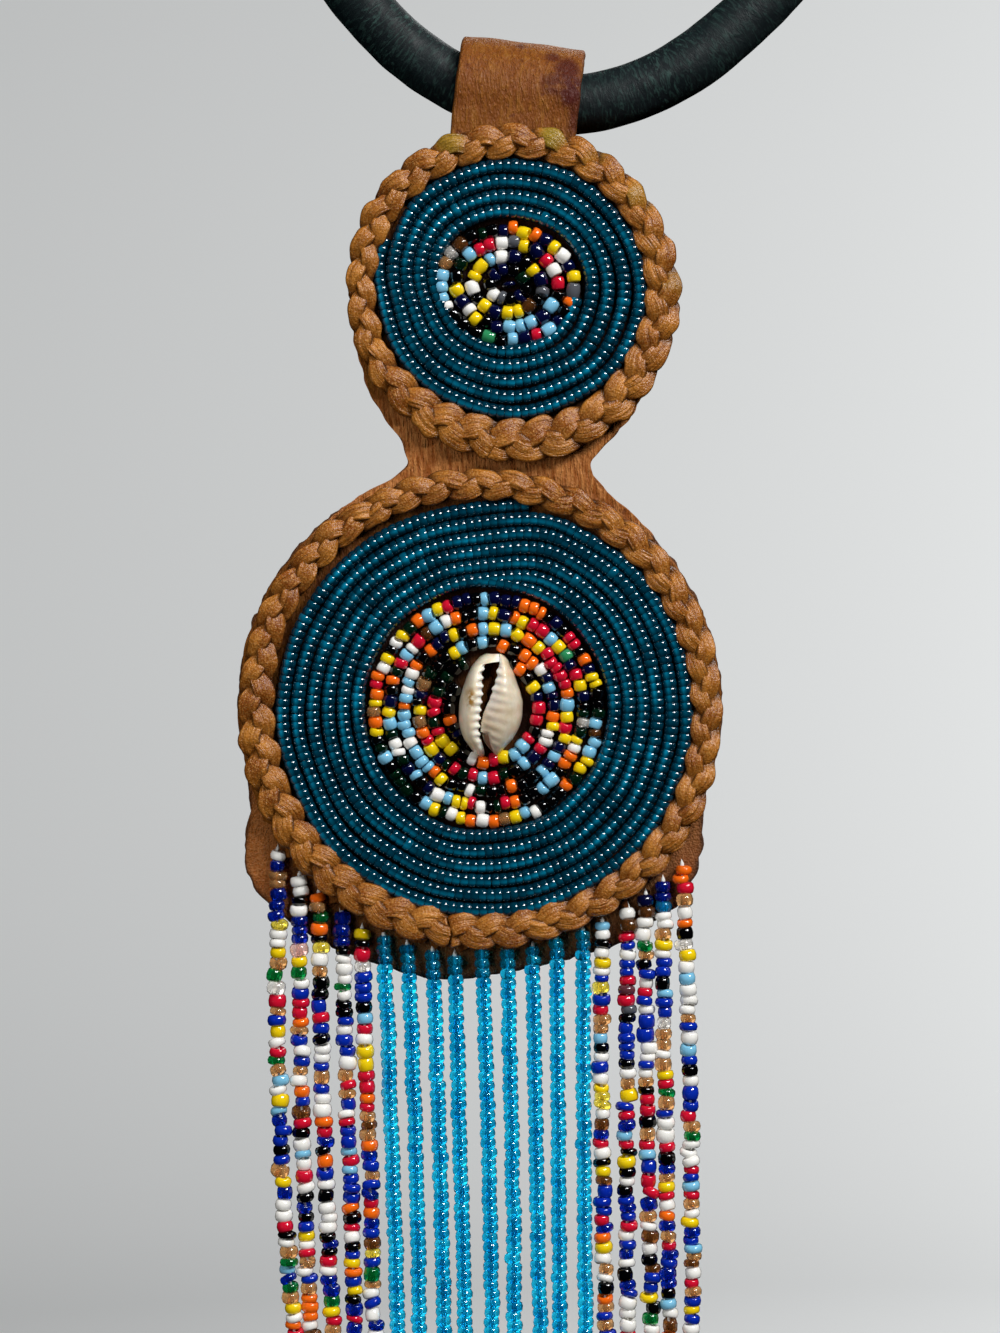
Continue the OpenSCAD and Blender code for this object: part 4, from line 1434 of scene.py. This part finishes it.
class NECKLACE_OT_stage(Operator):
    """Makes the pale floor and backdrop, the soft lights and the camera"""

    bl_idname = "necklace.stage"
    bl_label = "Stage"

    def execute(self, context):
        scene = context.scene
        scene.view_settings.view_transform = "Standard"
        self.make_cove()
        world = bpy.data.worlds.new("pale_room")
        scene.world = world
        world.use_nodes = True
        paint, strength = world.node_tree.nodes["Background"].inputs[:2]
        paint.default_value, strength.default_value = (0.86, 0.88, 0.9, 1), 0.5
        # Pale above the wall, without lighting anything
        world.cycles_visibility.diffuse = False
        world.cycles_visibility.glossy = False
        # Name, place, what it is aimed at, size, power in watts, and whether it shows in gloss
        middle = (0, 0, -0.25)
        lamps = (
            ("key", (0.8, -0.75, 0.5), middle, 0.34, 14.0, True),
            ("glint", (0.3, -0.8, 0.35), middle, 0.1, 2.6, True),
            ("fill", (-0.9, -1.1, -0.1), middle, 1.1, 8.6, False),
            ("rim", (0.3, 0.9, 0.55), middle, 0.5, 2.6, True),
            ("back", (-0.4, 1.2, 0.2), middle, 1.0, 9.0, False),
            ("floor", (0, -0.9, 2.0), (0, -3.0, -0.85), 2.0, 24.0, False),
            ("wash", (2.0, 1.0, 0.3), (0.8, 3.3, -0.6), 1.5, 70.0, False),
        )
        for name, place, target, size, power, shines in lamps:
            data = bpy.data.lights.new(name, "AREA")
            data.size, data.energy = size, power
            lamp = bpy.data.objects.new(name, data)
            lamp.location = place
            lamp.visible_camera = False
            lamp.visible_glossy = shines
            self.aim(lamp, np.array(target), 0)
            scene.collection.objects.link(lamp)
        self.make_camera(scene)
        return {"FINISHED"}

    def aim(self, thing, target, roll):
        """Points a lamp or the camera at a place, rolled about its own axis."""
        back = unit(np.array(thing.location) - target)
        right = unit(np.cross([0, 0, 1], back))
        up = np.cross(back, right)
        c, s = math.cos(roll), math.sin(roll)
        matrix = np.eye(4)
        right, up = right * c - up * s, up * c + right * s
        matrix[:3] = np.stack([right, up, back, thing.location], axis=1)
        thing.matrix_world = Matrix(matrix.tolist())

    def make_cove(self):
        """Floor and backdrop in one sheet turned about the upright: flat, rounded, upright."""
        floor_z, wall_r, bend_r, top, sides = -0.85, 3.4, 1.2, 4.0, 72
        turn = np.linspace(0, math.pi / 2, 16)
        bend = stacked(wall_r + bend_r * (np.sin(turn) - 1), floor_z + bend_r * (1 - np.cos(turn)))
        profile = np.concatenate([[[0.3, floor_z]], bend, [[wall_r, top]]])
        around = np.linspace(0, 2 * math.pi, sides, endpoint=False)[None, :]
        reach, z = profile[:, :1], profile[:, 1:]
        points = stacked(reach * np.cos(around), reach * np.sin(around), z).reshape(-1, 3)
        mesh = bpy.data.meshes.new("cove")
        faces = grid_faces(len(profile), sides, wrap_columns=True)[:, ::-1].tolist()
        mesh.from_pydata(points.tolist(), [], faces + [list(range(sides))])
        mesh.polygons.foreach_set("use_smooth", np.ones(len(mesh.polygons), dtype=bool))
        pale = "#e6e8e8"
        look = Finish("pale_paint", base_color=pale, roughness=0.85)
        # Pale all round, even where no lamp is aimed
        mesh.materials.append(look.set(emission_color=pale, emission_strength=0.19))
        cove = bpy.data.objects.new("cove", mesh)
        # Polished beads show only the lamps, as in a room that is dark beyond them
        cove.visible_glossy = False
        cove.visible_diffuse = False
        bpy.context.scene.collection.objects.link(cove)

    def make_camera(self, scene):
        """The photograph's view: square on to the pendant, half a metre off, rolled slightly."""
        across_px, high_px, mm_a_px, distance = 1000, 1333, 0.18, 500.0
        # Pixel of the ring's lowest middle, and the roll of the frame
        low_px = (528.2, 105.2)
        roll = math.radians(1.5)
        dx = (across_px / 2 - low_px[0]) * mm_a_px
        dz = -(high_px / 2 - low_px[1]) * mm_a_px
        c, s = math.cos(roll), math.sin(roll)
        offset = np.array([dx * c + dz * s, 0, dz * c - dx * s])
        target = (RING_LOW + offset) * MM
        data = bpy.data.cameras.new("camera")
        camera = bpy.data.objects.new("camera", data)
        data.sensor_fit = "AUTO"
        data.sensor_width = 36.0
        data.lens = data.sensor_width / 2 / (high_px * mm_a_px / 2 / distance)
        camera.location = target + np.array([0, -distance * MM, 0])
        self.aim(camera, target, roll)
        scene.collection.objects.link(camera)
        scene.camera = camera


class NECKLACE_PT_panel(Panel):
    """Lists the necklace's sizes, colours and pieces"""

    bl_idname = "NECKLACE_PT_panel"
    bl_label = "Necklace"
    bl_space_type = "VIEW_3D"
    bl_region_type = "UI"
    bl_category = "Necklace"

    def draw(self, context):
        for group in (context.scene.necklace_sizes, context.scene.necklace_colours):
            box = self.layout.box()
            for name in group.__annotations__:
                box.prop(group, name)
        for operator in OPERATORS:
            self.layout.operator(operator.bl_idname)


OPERATORS = (
    NECKLACE_OT_stage,
    NECKLACE_OT_neck_ring,
    NECKLACE_OT_clasp,
    NECKLACE_OT_back_leather,
    NECKLACE_OT_front_leather,
    NECKLACE_OT_plaits,
    NECKLACE_OT_bead_rows,
    NECKLACE_OT_cowrie,
    NECKLACE_OT_fringe,
    NECKLACE_OT_fibres,
)
CLASSES = (NecklaceColours, NecklaceSizes, *OPERATORS, NECKLACE_PT_panel)


def register():
    """Makes the classes known, and the scene's settings with them."""
    for kind in CLASSES:
        bpy.utils.register_class(kind)
    bpy.types.Scene.necklace_colours = PointerProperty(type=NecklaceColours)
    bpy.types.Scene.necklace_sizes = PointerProperty(type=NecklaceSizes)


def unregister():
    """Undoes what register does."""
    del bpy.types.Scene.necklace_sizes
    del bpy.types.Scene.necklace_colours
    for kind in reversed(CLASSES):
        bpy.utils.unregister_class(kind)


def main():
    """Makes the stage and every piece."""
    register()
    for operator in OPERATORS:
        group, name = operator.bl_idname.split(".")
        getattr(getattr(bpy.ops, group), name)()
    bpy.context.view_layer.update()


if __name__ == "__main__":
    main()
